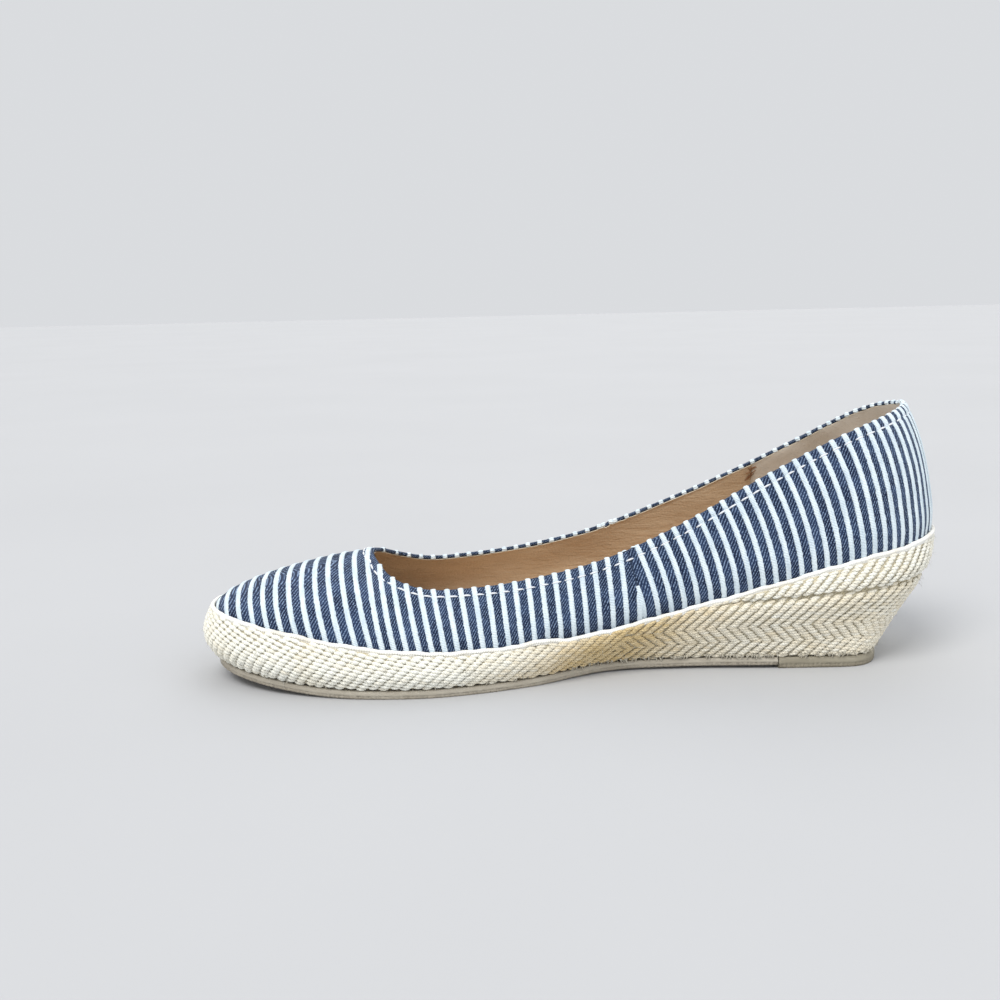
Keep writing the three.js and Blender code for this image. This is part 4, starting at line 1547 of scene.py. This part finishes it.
def slab(start, end, bottom, top, count, roughness):
    """A rubber slab: smooth upper edge, a groove, a rough lower lip and a ribbed underside."""
    shares = (mix(start, end, spread(count)) - TREAD_HEEL) / (TREAD_TOE - TREAD_HEEL)
    edges = {MEDIAL: [], LATERAL: []}
    for grow, part in EDGE_PROFILE:
        for side in SIDES:
            x, y = outline_point(TREAD, shares, side, grow)
            row = framed(x, y, mix(bottom(x), top(x), part))
            if part < LIP_TOP:
                teeth = 0.10 * np.sin(row[:, 0] * 4.3) + 0.08 * RNG.standard_normal(len(row))
                row[:, 1] += teeth * side
            if 0 < part < LIP_TOP:
                row[:, 2] += roughness * 0.12 * RNG.standard_normal(len(row))
            edges[side].append(row)
    medial, lateral = (np.array(edges[side]) for side in SIDES)
    across = np.linspace(0, 1, 26)[1:-1]
    under = np.array([mix(medial[-1], lateral[-1], t) for t in across])
    ribs = RIB_DEPTH * (1 - np.cos(under[..., 0] * 2 * np.pi / RIB_PITCH))
    inside = np.sin(np.pi * across)[:, None] > BARE_RIM
    under[..., 2] += np.where(inside, ribs, 0.0)
    points = np.concatenate([medial, under, lateral[::-1]])
    points[..., 2] = np.maximum(points[..., 2], 0.0)
    tone = np.full(points.shape[:-1], 1.0)
    tone[len(medial) - 3:-len(medial) + 3] = 0.75
    parts = [surface(points, points[..., :2], tone)]
    if start > TREAD_HEEL:
        parts.append(end_face(points[:, 0]))
    if end < TREAD_TOE:
        parts.append(end_face(points[:, -1]))
    top_rows = np.array([mix(medial[0], lateral[0], t) for t in np.linspace(0, 1, 4)])
    parts.append(surface(top_rows, top_rows[..., :2], flip=True))
    return join(parts)


def end_face(outline):
    """A flat face across the end of a slab, from its outline's outer points to a line above."""
    middle = outline.copy()
    middle[:, 2] = outline[:, 2].max()
    points = np.array([outline, middle])
    return surface(points, points[..., 1:], 0.8)


def top_piece_foot(station):
    return np.zeros_like(station)


def top_piece_top(station):
    return np.full_like(station, TOP_PIECE_THICKNESS)


piece(
    "outsole_rubber", slab(TOP_PIECE_FRONT, TREAD_TOE, tread_height, outsole_top, 620, 1.0),
    RUBBER, nodes=["outsole"],
)
piece(
    "top_piece", slab(TREAD_HEEL, TOP_PIECE_FRONT - GAP, top_piece_foot, top_piece_top, 220, 0.3),
    HEEL_RUBBER, nodes=["heel_top_piece"],
)

# ---- Floor, light and camera ----


FLOOR_REACH = 6.0  # metres from the shoe to the floor's edges
FLOOR_CORNERS = ((-1, -1), (1, -1), (1, 1), (-1, 1))

# Wide soft lights, as from large windows: the direction that each is in, its strength, its breadth
# in degrees, and its tint.
LIGHT_COLUMNS = ("name", "toward", "strength", "breadth", "tint")
LIGHTS = (
    ("key", (-0.5, -0.75, 1.25), 2.0, 30.0, (1.0, 0.985, 0.96)),
    ("fill", (0.9, -0.8, 0.8), 0.55, 60.0, (0.97, 0.985, 1.0)),
    ("back", (0.2, 1.0, 0.9), 0.6, 50.0, (1.0, 1.0, 1.0)),
)
SKY_COLOUR = (0.95, 0.97, 1.0, 1.0)
SKY_STRENGTH = 0.74


def floor():
    mesh = bpy.data.meshes.new("floor")
    corners = [(x * FLOOR_REACH, y * FLOOR_REACH, 0) for x, y in FLOOR_CORNERS]
    mesh.from_pydata(corners, [], [(0, 1, 2, 3)])
    look = Look("pale_floor", 0.75, specular=0.2)
    clouds = look.noise(look.place(), 0.004)
    mesh.materials.append(look.done(look.blend(clouds, (184, 185, 187), (190, 191, 193))))
    obj = bpy.data.objects.new("floor", mesh)
    bpy.context.scene.collection.objects.link(obj)


def posed(name, data, right, up, back, place):
    """Adds a light or a camera at a place, looking against its back axis."""
    obj = bpy.data.objects.new(name, data)
    rows = [[right[i], up[i], back[i], place[i]] for i in range(3)]
    obj.matrix_world = Matrix(rows + [[0, 0, 0, 1]])
    bpy.context.scene.collection.objects.link(obj)
    return obj


def studio():
    world = bpy.data.worlds.new("studio")
    world.use_nodes = True
    background = world.node_tree.nodes["Background"]
    background.inputs["Color"].default_value = SKY_COLOUR
    background.inputs["Strength"].default_value = SKY_STRENGTH
    bpy.context.scene.world = world
    for row in LIGHTS:
        plan = dict(zip(LIGHT_COLUMNS, row))
        light = bpy.data.lights.new(plan["name"], "SUN")
        light.energy = plan["strength"]
        light.angle = math.radians(plan["breadth"])
        light.color = plan["tint"]
        back = unit(np.array(plan["toward"]))
        right = unit(np.cross((0.0, 0.0, 1.0), back))
        posed(plan["name"], light, right, np.cross(back, right), back, plan["toward"])


# The camera: its place in the frame, its angles in degrees, and its lens.
CAMERA_PLACE = (-46.4, -423.5, 127.7)
CAMERA_YAW = 2.96
CAMERA_PITCH = 9.58
CAMERA_ROLL = -1.26
CAMERA_LENS = 44.64
SENSOR_WIDTH = 36.0


def camera():
    yaw, pitch, roll = (math.radians(v) for v in (CAMERA_YAW, CAMERA_PITCH, CAMERA_ROLL))
    level = np.array([math.sin(yaw), math.cos(yaw), 0.0])
    right = np.array([math.cos(yaw), -math.sin(yaw), 0.0])
    vertical = np.array([0.0, 0.0, 1.0])
    forward = level * math.cos(pitch) - vertical * math.sin(pitch)
    up = vertical * math.cos(pitch) + level * math.sin(pitch)
    rolled_right = right * math.cos(roll) + up * math.sin(roll)
    rolled_up = up * math.cos(roll) - right * math.sin(roll)
    data = bpy.data.cameras.new("camera")
    data.lens = CAMERA_LENS
    data.sensor_width = SENSOR_WIDTH
    data.clip_start = 0.01
    data.clip_end = 50.0
    place = np.array(CAMERA_PLACE) * MM
    bpy.context.scene.camera = posed("camera", data, rolled_right, rolled_up, -forward, place)


floor()
studio()
camera()
bpy.context.scene.view_settings.view_transform = "Standard"
bpy.context.scene.view_settings.look = "None"
